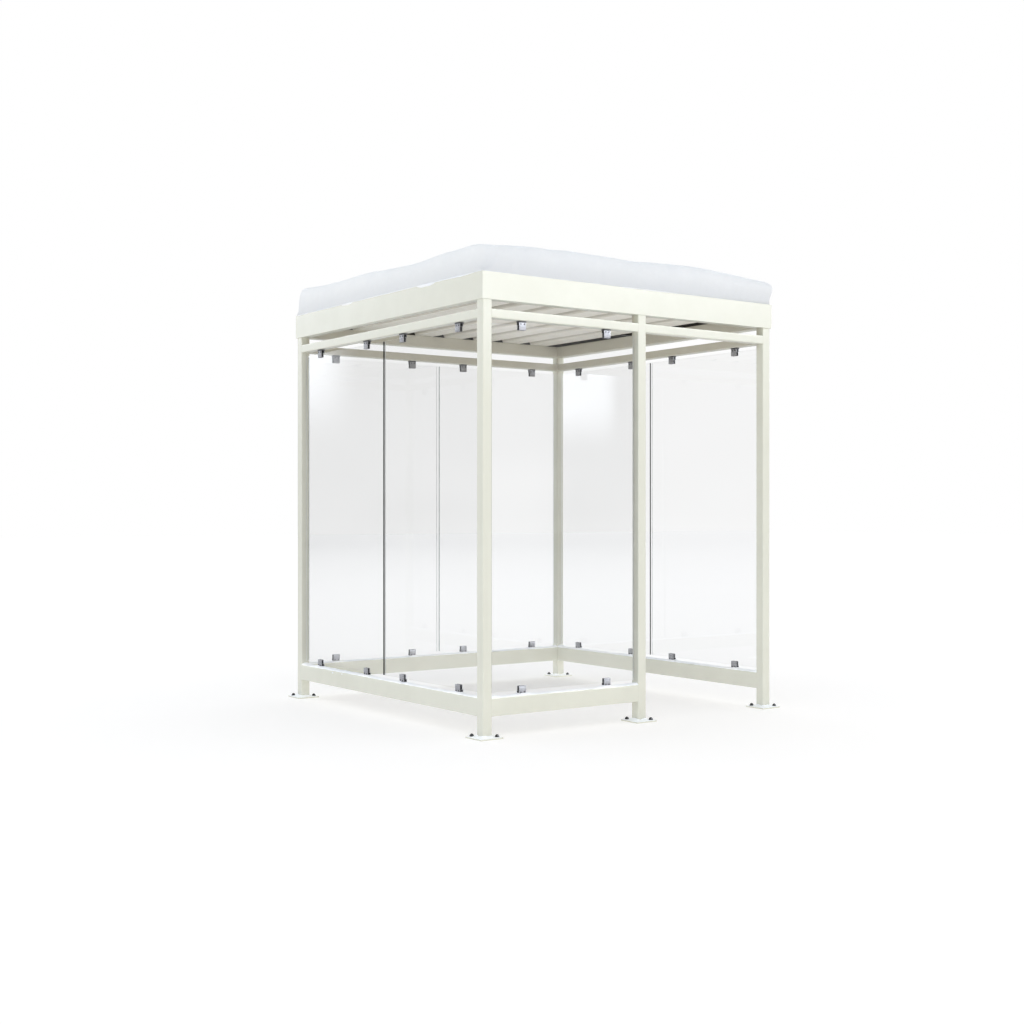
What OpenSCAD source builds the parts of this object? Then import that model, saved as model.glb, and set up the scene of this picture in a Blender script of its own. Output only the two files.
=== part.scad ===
// Glazed smoking shelter: a welded steel tube frame on five posts, clamped
// glass panes, a ribbed roof sheet behind a flat fascia, and settled snow.
// Millimetres. X runs left to right, Y from the open front to the rear, Z up.
// The origin is the middle of the plan at ground level.

/* [Plan] */
// Width over the outer faces of the posts, left to right
plan_w = 2200; // [1900:10:3000]
// Depth over the outer faces of the posts, front to rear
plan_d = 2200; // [1900:10:3000]
// Clear width of the glazed bay left of the entrance
front_bay_w = 1048; // [800:2:1100]

/* [Posts] */
// Side of the square post tube, and width of every rail and roof beam
post_w = 60; // [50:2:80]
// Wall of the post tube
post_wall = 3; // [2:0.5:5]
// Outer corner radius of every tube
tube_corner_r = 5; // [3.5:0.5:7]
// Height of the posts' top ends, where the roof beams sit
post_top = 2400; // [2300:10:2700]

/* [Base plates] */
// Side of the square base plate
plate_w = 150; // [140:5:200]
// Thickness of the base plate
plate_t = 8; // [6:1:15]
// Diameter of the anchor holes
anchor_hole_d = 14; // [10:1:18]
// Distance of an anchor hole from the plate's two nearest edges
anchor_inset = 25; // [18:1:30]

/* [Rails] */
// Height of the bottom rail's underside above ground
bottom_rail_z = 120; // [60:5:200]
// Height of the bottom rail's section
bottom_rail_h = 100; // [60:5:140]
// Height of the top rail's section
top_rail_h = 50; // [40:5:80]
// Open gap between the top rail and the roof beam
vent_gap = 50; // [30:5:90]
// Wall of the rail tubes
rail_wall = 3; // [2:0.5:5]

/* [Roof] */
// Height of the roof beams' section
beam_h = 80; // [60:5:110]
// Wall of the roof beam tubes
beam_wall = 3; // [2:0.5:5]
// Height of the fascia board
fascia_h = 150; // [135:5:220]
// Thickness of the fascia board
fascia_t = 8; // [4:1:12]
// Gap between the roof sheet's edges and the fascia
sheet_gap = 5; // [2:1:12]
// Thickness of the roof sheet
sheet_t = 1; // [0.8:0.1:2]
// Height of the roof sheet's ribs
rib_h = 35; // [20:1:45]
// Distance from rib to rib
rib_pitch = 250; // [200:5:280]
// Width of a rib at its foot
rib_foot_w = 100; // [80:5:120]
// Width of a rib at its crest
rib_crest_w = 60; // [40:5:75]
// Shift of the middle rib towards the left
rib_shift = 10; // [0:1:30]

/* [Glass] */
// Thickness of the panes
glass_t = 10; // [6:1:12]
// Gap between a pane and the rail above or below it
pane_rail_gap = 25; // [20:1:35]
// Gap between a pane and the post beside it
pane_post_gap = 15; // [8:1:30]
// Gap between two neighbouring panes
pane_joint_gap = 20; // [8:1:30]

/* [Clamps] */
// Width of a clamp along the pane
clamp_w = 48; // [36:2:60]
// Depth of the clamp's foot across the rail
clamp_foot_d = 30; // [28:1:44]
// Thickness of the clamp's foot
clamp_foot_t = 8; // [5:1:12]
// Height of a clamp from the rail to its lip
clamp_h = 52; // [44:1:70]
// Thickness of each jaw
jaw_t = 4; // [3:0.5:6]
// Thickness of the rubber lining on each side of the glass
lining_t = 3; // [2:0.5:4]
// How far the jaws stand out beyond the lining on each side and at the lip
jaw_margin = 1; // [0.5:0.5:3]
// Distance from a pane's end to the middle of the nearest clamp
clamp_inset = 205; // [120:5:260]

/* [Snow] */
// Mean depth of the roof snow above the fascia's top edge
roof_snow_h = 174; // [90:1:260]
// Distance over which the roof snow rounds off at its edges
roof_snow_round = 55; // [40:5:200]
// How far the roof snow bulges out over the fascia's face
roof_snow_bulge = 12; // [0:1:20]
// Height of the broad swell in the roof snow's surface
snow_swell = 24; // [0:1:30]
// Height of the long waves that run mostly from left to right
snow_long_wave = 9; // [0:1:15]
// Height of the shorter waves that cross them
snow_cross_wave = 6; // [0:1:15]
// Thickness of the snow on a bottom rail midway between two clamps
rail_snow_thin = 6; // [2:0.5:8]
// Thickness of the snow drifted against a clamp or post
rail_snow_drift = 12; // [8:0.5:18]
// Distance of the rail snow from the rail's side faces
rail_snow_margin = 2; // [2:0.5:10]
// Gap between the rail snow and a clamp or post
rail_snow_gap = 0.3; // [0.1:0.1:2]

/* [Hidden] */
$fn = 48;

cream = [0.93, 0.93, 0.88];
cream_shade = [0.86, 0.86, 0.80];
zinc = [0.62, 0.62, 0.64];
black_rubber = [0.08, 0.08, 0.09];
clear_glass = [0.85, 0.90, 0.90, 0.30];
snow_white = [0.94, 0.96, 1.00];

// Heights
bottom_rail_top = bottom_rail_z + bottom_rail_h;
top_rail_top = post_top - vent_gap;
top_rail_z = top_rail_top - top_rail_h;
beam_top = post_top + beam_h;
fascia_top = post_top + fascia_h;
crest_top = beam_top + rib_h + sheet_t;
pane_z = bottom_rail_top + pane_rail_gap;
pane_h = top_rail_z - pane_rail_gap - pane_z;

// Plan positions, from the middle of the plan
post_x = (plan_w - post_w) / 2;
post_y = (plan_d - post_w) / 2;
bay_centre_x = post_w + front_bay_w / 2 - plan_w / 2;
middle_post_x = bay_centre_x + (front_bay_w + post_w) / 2;
entrance_w = post_x - middle_post_x - post_w;
entrance_centre_x = middle_post_x + (entrance_w + post_w) / 2;
side_span = plan_d - 2 * post_w;
rear_span = plan_w - 2 * post_w;
anchor_offset = plate_w / 2 - anchor_inset;

// Clamp sizes that follow from the glass
lining_d = glass_t + 2 * lining_t;
lining_w = clamp_w - 2 * jaw_margin;
lining_h = clamp_h - clamp_foot_t - jaw_margin;

// Roof sheet extents
sheet_x = plan_w / 2 - sheet_gap;
sheet_y = plan_d / 2 - sheet_gap;
rib_reach = floor((plan_w / 2 - post_w / 2 - rib_shift - rib_foot_w / 2) / rib_pitch);

// Roof snow grid: arc steps on each rounded edge and flat steps between them
snow_arc_steps = 5;
snow_flat_steps = 12;
snow_steps = 2 * snow_arc_steps + snow_flat_steps;
snow_edge_power = 2.8;
snow_inside_gap = 0.3;
// Lengths of the swell and of the two trains of waves in the snow's surface
snow_swell_length = 4700;
snow_long_length = 960;
snow_cross_length = 820;

// Length of the wall on each side of the plan
function wall_length(side) = side == "front" || side == "rear" ? plan_w : plan_d;

// Moves a wall drawn along X, with its outer face on y = 0 and the inside
// at positive y, to its side of the plan.
module on_side(side) {
    turn = side == "front" ? 0 : side == "right" ? 90 : side == "rear" ? 180 : -90;
    reach = side == "front" || side == "rear" ? plan_d / 2 : plan_w / 2;
    rotate(turn)
        translate([0, -reach, 0])
            children();
}

module rounded_rectangle(size_x, size_y, r) {
    translate([r, 0])
        square([size_x - 2 * r, size_y]);
    translate([0, r])
        square([size_x, size_y - 2 * r]);
    for (x = [r, size_x - r], y = [r, size_y - r])
        translate([x, y])
            circle(r = r);
}

module tube_section(size_x, size_y, wall) {
    difference() {
        rounded_rectangle(size_x, size_y, tube_corner_r);
        translate([wall, wall])
            rounded_rectangle(size_x - 2 * wall, size_y - 2 * wall, tube_corner_r - wall / 2);
    }
}

// A level tube along X, centred on x = 0, from y = 0 to the post's width
module level_tube(span, height, wall) {
    translate([-span / 2, 0, 0])
        rotate([90, 0, 90])
            linear_extrude(span)
                tube_section(post_w, height, wall);
}

module post(x, y) {
    color(cream)
        translate([x - post_w / 2, y - post_w / 2, plate_t])
            linear_extrude(post_top - plate_t)
                tube_section(post_w, post_w, post_wall);
}

// The anchors sit on the diagonal from the rear left to the front right corner
module base_plate(x, y) {
    color(cream)
        translate([x, y, 0])
            difference() {
                translate([-plate_w / 2, -plate_w / 2, 0])
                    cube([plate_w, plate_w, plate_t]);
                for (hand = [-1, 1])
                    translate([hand * anchor_offset, -hand * anchor_offset, -1])
                        cylinder(d = anchor_hole_d, h = plate_t + 2);
            }
}

module bottom_rail(side, span, centre = 0) {
    color(cream)
        on_side(side)
            translate([centre, 0, bottom_rail_z])
                level_tube(span, bottom_rail_h, rail_wall);
}

module top_rail(side, span, centre = 0) {
    color(cream)
        on_side(side)
            translate([centre, 0, top_rail_z])
                level_tube(span, top_rail_h, rail_wall);
}

module roof_beam(side, span) {
    color(cream_shade)
        on_side(side)
            translate([0, 0, post_top])
                level_tube(span, beam_h, beam_wall);
}

// A flat board mitred at both ends
module fascia(side) {
    half = wall_length(side) / 2;
    color(cream)
        on_side(side)
            translate([0, 0, post_top])
                linear_extrude(fascia_h)
                    polygon([
                        [-half - fascia_t, -fascia_t],
                        [half + fascia_t, -fascia_t],
                        [half, 0],
                        [-half, 0]
                    ]);
}

// Outline of the ribs' underside. The last rib has no right foot: its crest
// runs on over the right roof beam as the overlap edge.
function rib_line(x, last) = [
    [x - rib_foot_w / 2, 0],
    [x - rib_crest_w / 2, rib_h],
    last ? [sheet_x, rib_h] : [x + rib_crest_w / 2, rib_h],
    if (!last) [x + rib_foot_w / 2, 0]
];

module roof_sheet() {
    ribs = [for (k = [-rib_reach : rib_reach]) each
        rib_line(k * rib_pitch - rib_shift, k == rib_reach)];
    underside = concat([[-sheet_x, 0]], ribs);
    last_point = len(underside) - 1;
    upper = [for (k = [last_point : -1 : 0]) underside[k] + [0, sheet_t]];
    color(cream_shade)
        translate([0, sheet_y, beam_top])
            rotate([90, 0, 0])
                linear_extrude(2 * sheet_y)
                    polygon(concat(underside, upper));
}

// Panes of a wall as [centre, width] pairs along the wall
function single_pane(centre, span) = [[centre, span - 2 * pane_post_gap]];
function double_pane_w(span) = (span - 2 * pane_post_gap - pane_joint_gap) / 2;
function double_pane(span, hand) =
    [hand * (double_pane_w(span) + pane_joint_gap) / 2, double_pane_w(span)];
function wall_panes(side) = side == "front"
    ? single_pane(bay_centre_x, front_bay_w)
    : side == "rear"
        ? [double_pane(rear_span, -1), double_pane(rear_span, 1)]
        : [double_pane(side_span, -1), double_pane(side_span, 1)];

// Clamp middles along a wall, two to each pane
function clamp_places(side) = [
    for (pane = wall_panes(side), hand = [-1, 1])
        pane[0] + hand * (pane[1] / 2 - clamp_inset)
];

module glass_pane(side, pane) {
    color(clear_glass)
        on_side(side)
            translate([pane[0] - pane[1] / 2, (post_w - glass_t) / 2, pane_z])
                cube([pane[1], glass_t, pane_h]);
}

// Places its child on the bottom rail and, turned over, under the top rail
module at_each_clamp(side) {
    on_side(side)
        for (x = clamp_places(side)) {
            translate([x, post_w / 2, bottom_rail_top])
                children();
            translate([x, post_w / 2, top_rail_z])
                mirror([0, 0, 1])
                    children();
        }
}

module clamp_body() {
    translate([-clamp_w / 2, -clamp_foot_d / 2, 0])
        cube([clamp_w, clamp_foot_d, clamp_foot_t]);
    for (y = [-lining_d / 2 - jaw_t, lining_d / 2])
        translate([-clamp_w / 2, y, 0])
            cube([clamp_w, jaw_t, clamp_h]);
}

module clamps(side) {
    color(zinc)
        at_each_clamp(side)
            clamp_body();
}

// A rubber block slotted for the glass, which stands on the slot's floor
module clamp_lining() {
    translate([-lining_w / 2, -lining_d / 2, clamp_foot_t])
        difference() {
            cube([lining_w, lining_d, lining_h]);
            translate([-1, lining_t, pane_rail_gap - clamp_foot_t])
                cube([lining_w + 2, glass_t, lining_h]);
        }
}

module clamp_linings() {
    color(black_rubber)
        for (side = ["front", "left", "right", "rear"])
            at_each_clamp(side)
                clamp_lining();
}

// A strip of snow whose height falls as a parabola from both ends to its middle
module snow_strip(from_x, to_x) {
    steps = 12;
    span = to_x - from_x;
    crest = [for (k = [0 : steps]) let (t = 2 * k / steps - 1)
        [from_x + span * k / steps, rail_snow_thin + (rail_snow_drift - rail_snow_thin) * t * t]];
    translate([0, post_w - rail_snow_margin, bottom_rail_top])
        rotate([90, 0, 0])
            linear_extrude(post_w - 2 * rail_snow_margin)
                polygon(concat(crest, [[to_x, 0], [from_x, 0]]));
}

// Strips between the posts and clamps that stand on one bottom rail
module snow_on_rail(side, span, centre = 0) {
    places = clamp_places(side);
    half_clamp = clamp_w / 2 + rail_snow_gap;
    starts = concat([centre - span / 2 + rail_snow_gap], [for (x = places) x + half_clamp]);
    ends = concat([for (x = places) x - half_clamp], [centre + span / 2 - rail_snow_gap]);
    on_side(side)
        for (k = [0 : len(starts) - 1])
            snow_strip(starts[k], ends[k]);
}

module rail_snow() {
    color(snow_white) {
        snow_on_rail("front", front_bay_w, bay_centre_x);
        snow_on_rail("left", side_span);
        snow_on_rail("right", side_span);
        snow_on_rail("rear", rear_span);
    }
}

// A train of straight waves: their height, length, heading and start angle
function wave(x, y, height, length, heading, start) =
    height * sin(360 * (x * cos(heading) + y * sin(heading)) / length + start);

// Depth of the snow above the fascia's top edge, away from the edges: a broad
// swell that is highest on the right, and two trains of waves that cross.
function snow_depth(x, y) = roof_snow_h
    + snow_swell * sin(360 * x / snow_swell_length + 10) * cos(360 * y / snow_swell_length)
    + wave(x, y, snow_long_wave, snow_long_length, 20, 50)
    + wave(x, y, snow_cross_wave, snow_cross_length, -60, 35);

// One grid coordinate as [position, edge factor, bulge]. Near each edge the
// steps follow a rounded quarter arc, and between them they are even.
function arc_point(angle, half) = [
    half - roof_snow_round * (1 - pow(cos(angle), 2 / snow_edge_power)),
    pow(sin(angle), 2 / snow_edge_power),
    roof_snow_bulge * sin(2 * angle)
];
function snow_line(half) = [
    for (k = [0 : snow_arc_steps - 1])
        let (p = arc_point(90 * k / snow_arc_steps, half)) [-p[0], p[1], -p[2]],
    for (k = [0 : snow_flat_steps])
        [(half - roof_snow_round) * (2 * k / snow_flat_steps - 1), 1, 0],
    for (k = [snow_arc_steps - 1 : -1 : 0])
        arc_point(90 * k / snow_arc_steps, half)
];

// Indices of the grid's border, once round
function grid_index(i, j) = i * (snow_steps + 1) + j;
function border() = [
    for (k = [0 : snow_steps - 1]) grid_index(k, 0),
    for (k = [0 : snow_steps - 1]) grid_index(snow_steps, k),
    for (k = [0 : snow_steps - 1]) grid_index(snow_steps - k, snow_steps),
    for (k = [0 : snow_steps - 1]) grid_index(0, snow_steps - k)
];

// The snow lies on the ribs' crests inside the fascia, and over the fascia's
// top edge it swells out to the outer face.
module roof_snow() {
    half_x = plan_w / 2 + fascia_t;
    half_y = plan_d / 2 + fascia_t;
    line_x = snow_line(half_x);
    line_y = snow_line(half_y);
    surface = [for (px = line_x, py = line_y) [
        px[0] + px[2] * py[1],
        py[0] + py[2] * px[1],
        fascia_top + snow_depth(px[0], py[0]) * px[1] * py[1]
    ]];
    rim = border();
    count = len(rim);
    inner_x = (plan_w / 2 - snow_inside_gap) / half_x;
    inner_y = (plan_d / 2 - snow_inside_gap) / half_y;
    collar = [for (k = rim) [surface[k][0] * inner_x, surface[k][1] * inner_y, fascia_top]];
    foot = [for (p = collar) [p[0], p[1], crest_top]];
    collar_start = len(surface);
    foot_start = collar_start + count;
    top_faces = [for (i = [0 : snow_steps - 1], j = [0 : snow_steps - 1]) each [
        [grid_index(i, j), grid_index(i, j + 1), grid_index(i + 1, j + 1)],
        [grid_index(i, j), grid_index(i + 1, j + 1), grid_index(i + 1, j)]
    ]];
    side_faces = [for (k = [0 : count - 1]) let (next = (k + 1) % count) each [
        [rim[k], rim[next], collar_start + next],
        [rim[k], collar_start + next, collar_start + k],
        [collar_start + k, collar_start + next, foot_start + next],
        [collar_start + k, foot_start + next, foot_start + k]
    ]];
    base_middle = foot_start + count;
    base_faces = [for (k = [0 : count - 1])
        [foot_start + k, foot_start + (k + 1) % count, base_middle]];
    color(snow_white)
        polyhedron(
            concat(surface, collar, foot, [[0, 0, crest_top]]),
            concat(top_faces, side_faces, base_faces)
        );
}

base_plate(-post_x, -post_y);  // base_plate_front_left
base_plate(middle_post_x, -post_y);  // base_plate_front_middle
base_plate(post_x, -post_y);  // base_plate_front_right
base_plate(-post_x, post_y);  // base_plate_rear_left
base_plate(post_x, post_y);  // base_plate_rear_right
post(-post_x, -post_y);  // post_front_left
post(middle_post_x, -post_y);  // post_front_middle
post(post_x, -post_y);  // post_front_right
post(-post_x, post_y);  // post_rear_left
post(post_x, post_y);  // post_rear_right
bottom_rail("front", front_bay_w, bay_centre_x);  // bottom_rail_front
bottom_rail("left", side_span);  // bottom_rail_left
bottom_rail("right", side_span);  // bottom_rail_right
bottom_rail("rear", rear_span);  // bottom_rail_rear
top_rail("front", front_bay_w, bay_centre_x);  // top_rail_front_bay
top_rail("front", entrance_w, entrance_centre_x);  // top_rail_entrance
top_rail("left", side_span);  // top_rail_left
top_rail("right", side_span);  // top_rail_right
top_rail("rear", rear_span);  // top_rail_rear
roof_beam("front", plan_w);  // roof_beam_front
roof_beam("left", side_span);  // roof_beam_left
roof_beam("right", side_span);  // roof_beam_right
roof_beam("rear", plan_w);  // roof_beam_rear
fascia("front");  // fascia_front
fascia("left");  // fascia_left
fascia("right");  // fascia_right
fascia("rear");  // fascia_rear
roof_sheet();
glass_pane("front", wall_panes("front")[0]);  // glass_front_bay
glass_pane("left", wall_panes("left")[1]);  // glass_left_front
glass_pane("left", wall_panes("left")[0]);  // glass_left_rear
glass_pane("right", wall_panes("right")[0]);  // glass_right_front
glass_pane("right", wall_panes("right")[1]);  // glass_right_rear
glass_pane("rear", wall_panes("rear")[1]);  // glass_rear_left
glass_pane("rear", wall_panes("rear")[0]);  // glass_rear_right
clamps("front");  // clamps_front
clamps("left");  // clamps_left
clamps("right");  // clamps_right
clamps("rear");  // clamps_rear
clamp_linings();
rail_snow();
roof_snow();
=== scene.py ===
"""Looks of a glazed smoking shelter in winter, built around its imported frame.

The welded frame, the fascia and the ribbed roof sheet keep their own solids and
get coated finishes. The panes, the clamps and the snow are made again with
their fine form, and weld beads, screws and anchor caps are added. Everything is
in metres: X to the right, Y from the open front to the rear, Z up.
"""

import logging
import math
from dataclasses import dataclass, field, replace
from enum import Enum

import bpy
import numpy as np
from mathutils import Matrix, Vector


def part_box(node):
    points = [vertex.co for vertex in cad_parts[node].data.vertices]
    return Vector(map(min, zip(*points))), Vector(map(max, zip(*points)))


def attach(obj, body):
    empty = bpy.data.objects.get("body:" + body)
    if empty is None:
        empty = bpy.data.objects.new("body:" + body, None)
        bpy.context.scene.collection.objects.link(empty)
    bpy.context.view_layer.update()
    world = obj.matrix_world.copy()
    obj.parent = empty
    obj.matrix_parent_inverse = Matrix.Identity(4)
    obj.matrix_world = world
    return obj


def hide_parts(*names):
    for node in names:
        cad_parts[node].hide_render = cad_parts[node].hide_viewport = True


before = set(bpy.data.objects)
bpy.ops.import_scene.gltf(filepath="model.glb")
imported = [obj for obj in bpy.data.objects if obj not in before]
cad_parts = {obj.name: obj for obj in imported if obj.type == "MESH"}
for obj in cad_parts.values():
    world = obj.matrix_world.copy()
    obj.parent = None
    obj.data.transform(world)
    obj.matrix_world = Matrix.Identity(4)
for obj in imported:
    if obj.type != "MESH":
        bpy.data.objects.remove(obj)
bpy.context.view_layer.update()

BODY = "root"
MM = 0.001
AXES = np.eye(3)
LOG = logging.getLogger("shelter")

Colour = tuple[float, float, float, float]
Pair = tuple[float, float]
FourSides = tuple[float, float, float, float]
Triple = tuple[float, float, float]
Socket = bpy.types.NodeSocket
Sockets = bpy.types.bpy_prop_collection


class Side(Enum):
    """A wall of the square plan, with the outward direction of its face."""

    FRONT = (0.0, -1.0)
    RIGHT = (1.0, 0.0)
    REAR = (0.0, 1.0)
    LEFT = (-1.0, 0.0)

    @property
    def outward(self) -> np.ndarray:
        """Unit vector that points away from the inside."""
        return np.array([*self.value, 0.0])

    @property
    def along(self) -> np.ndarray:
        """Unit vector along the wall, to the right as seen from outside."""
        x, y = self.value
        return np.array([-y, x, 0.0])


class Slot(Enum):
    """Material slots of the record that a new piece can take its finish from."""

    COATING = "coating"
    CLAMP = "clamp_metal"
    RUBBER = "rubber"
    GLASS = "glass"
    SNOW = "snow"


def node_box(name: str) -> tuple[np.ndarray, np.ndarray]:
    """Lowest and highest corner of a frame node.

    Args:
        name: the node's name.

    Returns:
        Both corners as arrays in metres.
    """
    low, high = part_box(name)
    return np.array(low), np.array(high)


# ---------------------------------------------------------------- surfaces


@dataclass
class Surface:
    """A mesh as arrays: points, quads, and flat caps with any number of corners."""

    points: np.ndarray
    quads: np.ndarray
    caps: list[np.ndarray] = field(default_factory=list)

    def moved(self, place: np.ndarray) -> "Surface":
        """The same surface shifted by place."""
        return Surface(self.points + place, self.quads, self.caps)

    def turned(self, x_axis: np.ndarray, y_axis: np.ndarray, z_axis: np.ndarray) -> "Surface":
        """The same surface with its X, Y and Z laid along three unit vectors."""
        return Surface(self.points @ np.array([x_axis, y_axis, z_axis]), self.quads, self.caps)

    def flipped(self) -> "Surface":
        """The same surface with its faces turned to the other side."""
        return Surface(self.points, self.quads[:, ::-1], [cap[::-1] for cap in self.caps])


def joined(surfaces: list[Surface]) -> Surface:
    """Puts several surfaces into one.

    Args:
        surfaces: the surfaces, which keep their own corners.

    Returns:
        One surface that holds them all.
    """
    starts = np.cumsum([0] + [len(s.points) for s in surfaces[:-1]])
    return Surface(
        np.concatenate([s.points for s in surfaces]),
        np.concatenate([s.quads + start for s, start in zip(surfaces, starts)]),
        [cap + start for s, start in zip(surfaces, starts) for cap in s.caps],
    )


def grid_quads(rows: int, columns: int, ring: bool = False, closed_rows: bool = False) -> np.ndarray:
    """Quads between the neighbours of a grid whose points are stored row by row.

    Args:
        rows: number of rows.
        columns: number of points in a row.
        ring: whether the last column joins the first.
        closed_rows: whether the last row joins the first.

    Returns:
        Index array with four columns.
    """
    i = np.arange(rows if closed_rows else rows - 1)[:, None]
    j = np.arange(columns if ring else columns - 1)[None, :]
    after_i, after_j = (i + 1) % rows, (j + 1) % columns
    corners = [i * columns + j, i * columns + after_j, after_i * columns + after_j, after_i * columns + j]
    return np.stack([c.ravel() for c in np.broadcast_arrays(*corners)], axis=1)


def end_caps(rows: int, columns: int) -> list[np.ndarray]:
    """Flat caps over the first and the last ring of a grid, facing away from it."""
    ring = np.arange(columns)
    return [ring[::-1], ring + (rows - 1) * columns]


def rounded_block(size: Triple, radius: float, steps: int = 3) -> Surface:
    """A block with rounded edges, centred on the origin.

    Formula: each point of a ball of the given radius is moved out, along every
    axis in the direction of its own sign, by half the size less the radius.
    The two rows next to the poles are closed with flat caps.

    Args:
        size: lengths along X, Y and Z.
        radius: radius of the edges.
        steps: steps in each quarter turn.

    Returns:
        The closed surface.
    """
    quarter = np.linspace(0.0, math.pi / 2, steps + 1)
    turn = (quarter[None, :] + np.arange(4)[:, None] * math.pi / 2).ravel()
    turn_sign = np.sign(np.stack([
        np.repeat([1, -1, -1, 1], steps + 1), np.repeat([1, 1, -1, -1], steps + 1)]))
    rise = np.concatenate([-quarter[::-1][1:], quarter[:-1]])
    rise_sign = np.repeat([-1, 1], steps)
    core = np.array(size) / 2 - radius
    x = turn_sign[0] * core[0] + radius * np.cos(rise)[:, None] * np.cos(turn)
    y = turn_sign[1] * core[1] + radius * np.cos(rise)[:, None] * np.sin(turn)
    z = np.broadcast_to((rise_sign * core[2] + radius * np.sin(rise))[:, None], x.shape)
    rows, columns = x.shape
    points = np.stack([x, y, z], axis=-1).reshape(-1, 3)
    return Surface(points, grid_quads(rows, columns, ring=True), end_caps(rows, columns))


def turned_part(profile: np.ndarray, steps: int) -> Surface:
    """A part of revolution about Z.

    Formula: each profile point (distance from the axis, height) is carried once
    round the axis. The first and last ring are closed with flat caps.

    Args:
        profile: points from the bottom to the top, two columns.
        steps: points in a ring.

    Returns:
        The closed surface.
    """
    angle = np.arange(steps) * 2 * math.pi / steps
    x = profile[:, :1] * np.cos(angle)
    y = profile[:, :1] * np.sin(angle)
    z = np.broadcast_to(profile[:, 1:], x.shape)
    points = np.stack([x, y, z], axis=-1).reshape(-1, 3)
    return Surface(points, grid_quads(len(profile), steps, ring=True), end_caps(len(profile), steps))


def rounded_outline(width: float, depth: float, radius: float, count: int) -> tuple[np.ndarray, np.ndarray]:
    """Evenly spaced points on a rounded rectangle about the origin.

    Formula: four quarter circles at the corners, joined by straight lines, and
    then walked in equal steps of length.

    Args:
        width: length along the first axis.
        depth: length along the second axis.
        radius: corner radius.
        count: number of points.

    Returns:
        The points and their outward unit normals, two columns each.
    """
    corner_points = 7
    quarter = np.linspace(0, math.pi / 2, corner_points)
    angle = (quarter[None, :] + np.arange(4)[:, None] * math.pi / 2).ravel()
    normal = np.stack([np.cos(angle), np.sin(angle)], axis=1)
    signs = np.repeat(np.array([[1, 1], [-1, 1], [-1, -1], [1, -1]]), corner_points, axis=0)
    corner = signs * (np.array([width, depth]) / 2 - radius) + radius * normal
    corner, normal = np.vstack([corner, corner[:1]]), np.vstack([normal, normal[:1]])
    walked = np.concatenate([[0.0], np.cumsum(np.linalg.norm(np.diff(corner, axis=0), axis=1))])
    at = np.linspace(0, walked[-1], count, endpoint=False)
    points = np.stack([np.interp(at, walked, corner[:, k]) for k in (0, 1)], axis=1)
    normals = np.stack([np.interp(at, walked, normal[:, k]) for k in (0, 1)], axis=1)
    return points, normals / np.linalg.norm(normals, axis=1, keepdims=True)


def uneven(x: np.ndarray, y: np.ndarray, height: float, longest: float, seed: int) -> np.ndarray:
    """A gentle random relief that is the same on every run.

    Formula: a sum of straight sine waves with random headings and starts, whose
    lengths fall from the longest to an eighth of it, each as high as it is long.

    Args:
        x: first coordinate of each point.
        y: second coordinate of each point.
        height: rough height of the relief.
        longest: length of the longest wave.
        seed: number that fixes the random draws.

    Returns:
        The relief at each point.
    """
    waves = 24
    draw = np.random.default_rng(seed)
    share = 8.0 ** -np.linspace(0, 1, waves)
    heading = draw.uniform(0, 2 * math.pi, waves)
    start = draw.uniform(0, 2 * math.pi, waves)
    scale = height * share / math.sqrt(np.sum(share ** 2) / 2)
    total = np.zeros(np.broadcast(x, y).shape)
    for a, h, s, k in zip(heading, scale, start, 2 * math.pi / (longest * share)):
        total = total + h / math.sqrt(2) * np.sin(k * (x * math.cos(a) + y * math.sin(a)) + s)
    return total


def add_piece(name: str, surface: Surface, finishes: list[bpy.types.Material],
              sharp_deg: float = 30.0, picks: np.ndarray | None = None) -> bpy.types.Object:
    """Makes a piece of the object from a surface and lets it ride on the frame.

    Args:
        name: the piece's name.
        surface: its closed surface, in place.
        finishes: its materials.
        sharp_deg: faces that meet at more than this angle keep a crisp edge.
        picks: index of the material of each face, quads first, or None.

    Returns:
        The new object.
    """
    mesh = bpy.data.meshes.new(name)
    sizes = [np.full(len(surface.quads), 4), [len(cap) for cap in surface.caps]]
    sizes = np.concatenate(sizes).astype(np.int32)
    corners = np.concatenate([surface.quads.ravel(), *surface.caps]).astype(np.int32)
    mesh.vertices.add(len(surface.points))
    mesh.vertices.foreach_set("co", surface.points.astype(np.float32).ravel())
    mesh.loops.add(len(corners))
    mesh.loops.foreach_set("vertex_index", corners)
    mesh.polygons.add(len(sizes))
    mesh.polygons.foreach_set("loop_start", (np.cumsum(sizes) - sizes).astype(np.int32))
    mesh.polygons.foreach_set("use_smooth", np.ones(len(sizes), dtype=bool))
    if picks is not None:
        mesh.polygons.foreach_set("material_index", picks.astype(np.int32))
    mesh.update(calc_edges=True)
    mesh.validate()
    mesh.set_sharp_from_angle(angle=math.radians(sharp_deg))
    for finish in finishes:
        mesh.materials.append(finish)
    piece = bpy.data.objects.new(name, mesh)
    bpy.context.scene.collection.objects.link(piece)
    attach(piece, BODY)
    LOG.info("piece %s: %d faces", name, len(sizes))
    return piece


# ---------------------------------------------------------------- finishes


# Numbers of the colour sockets on a mix node.
MIX_FACTOR, MIX_FIRST, MIX_SECOND, MIX_RESULT = 0, 6, 7, 2


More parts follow.
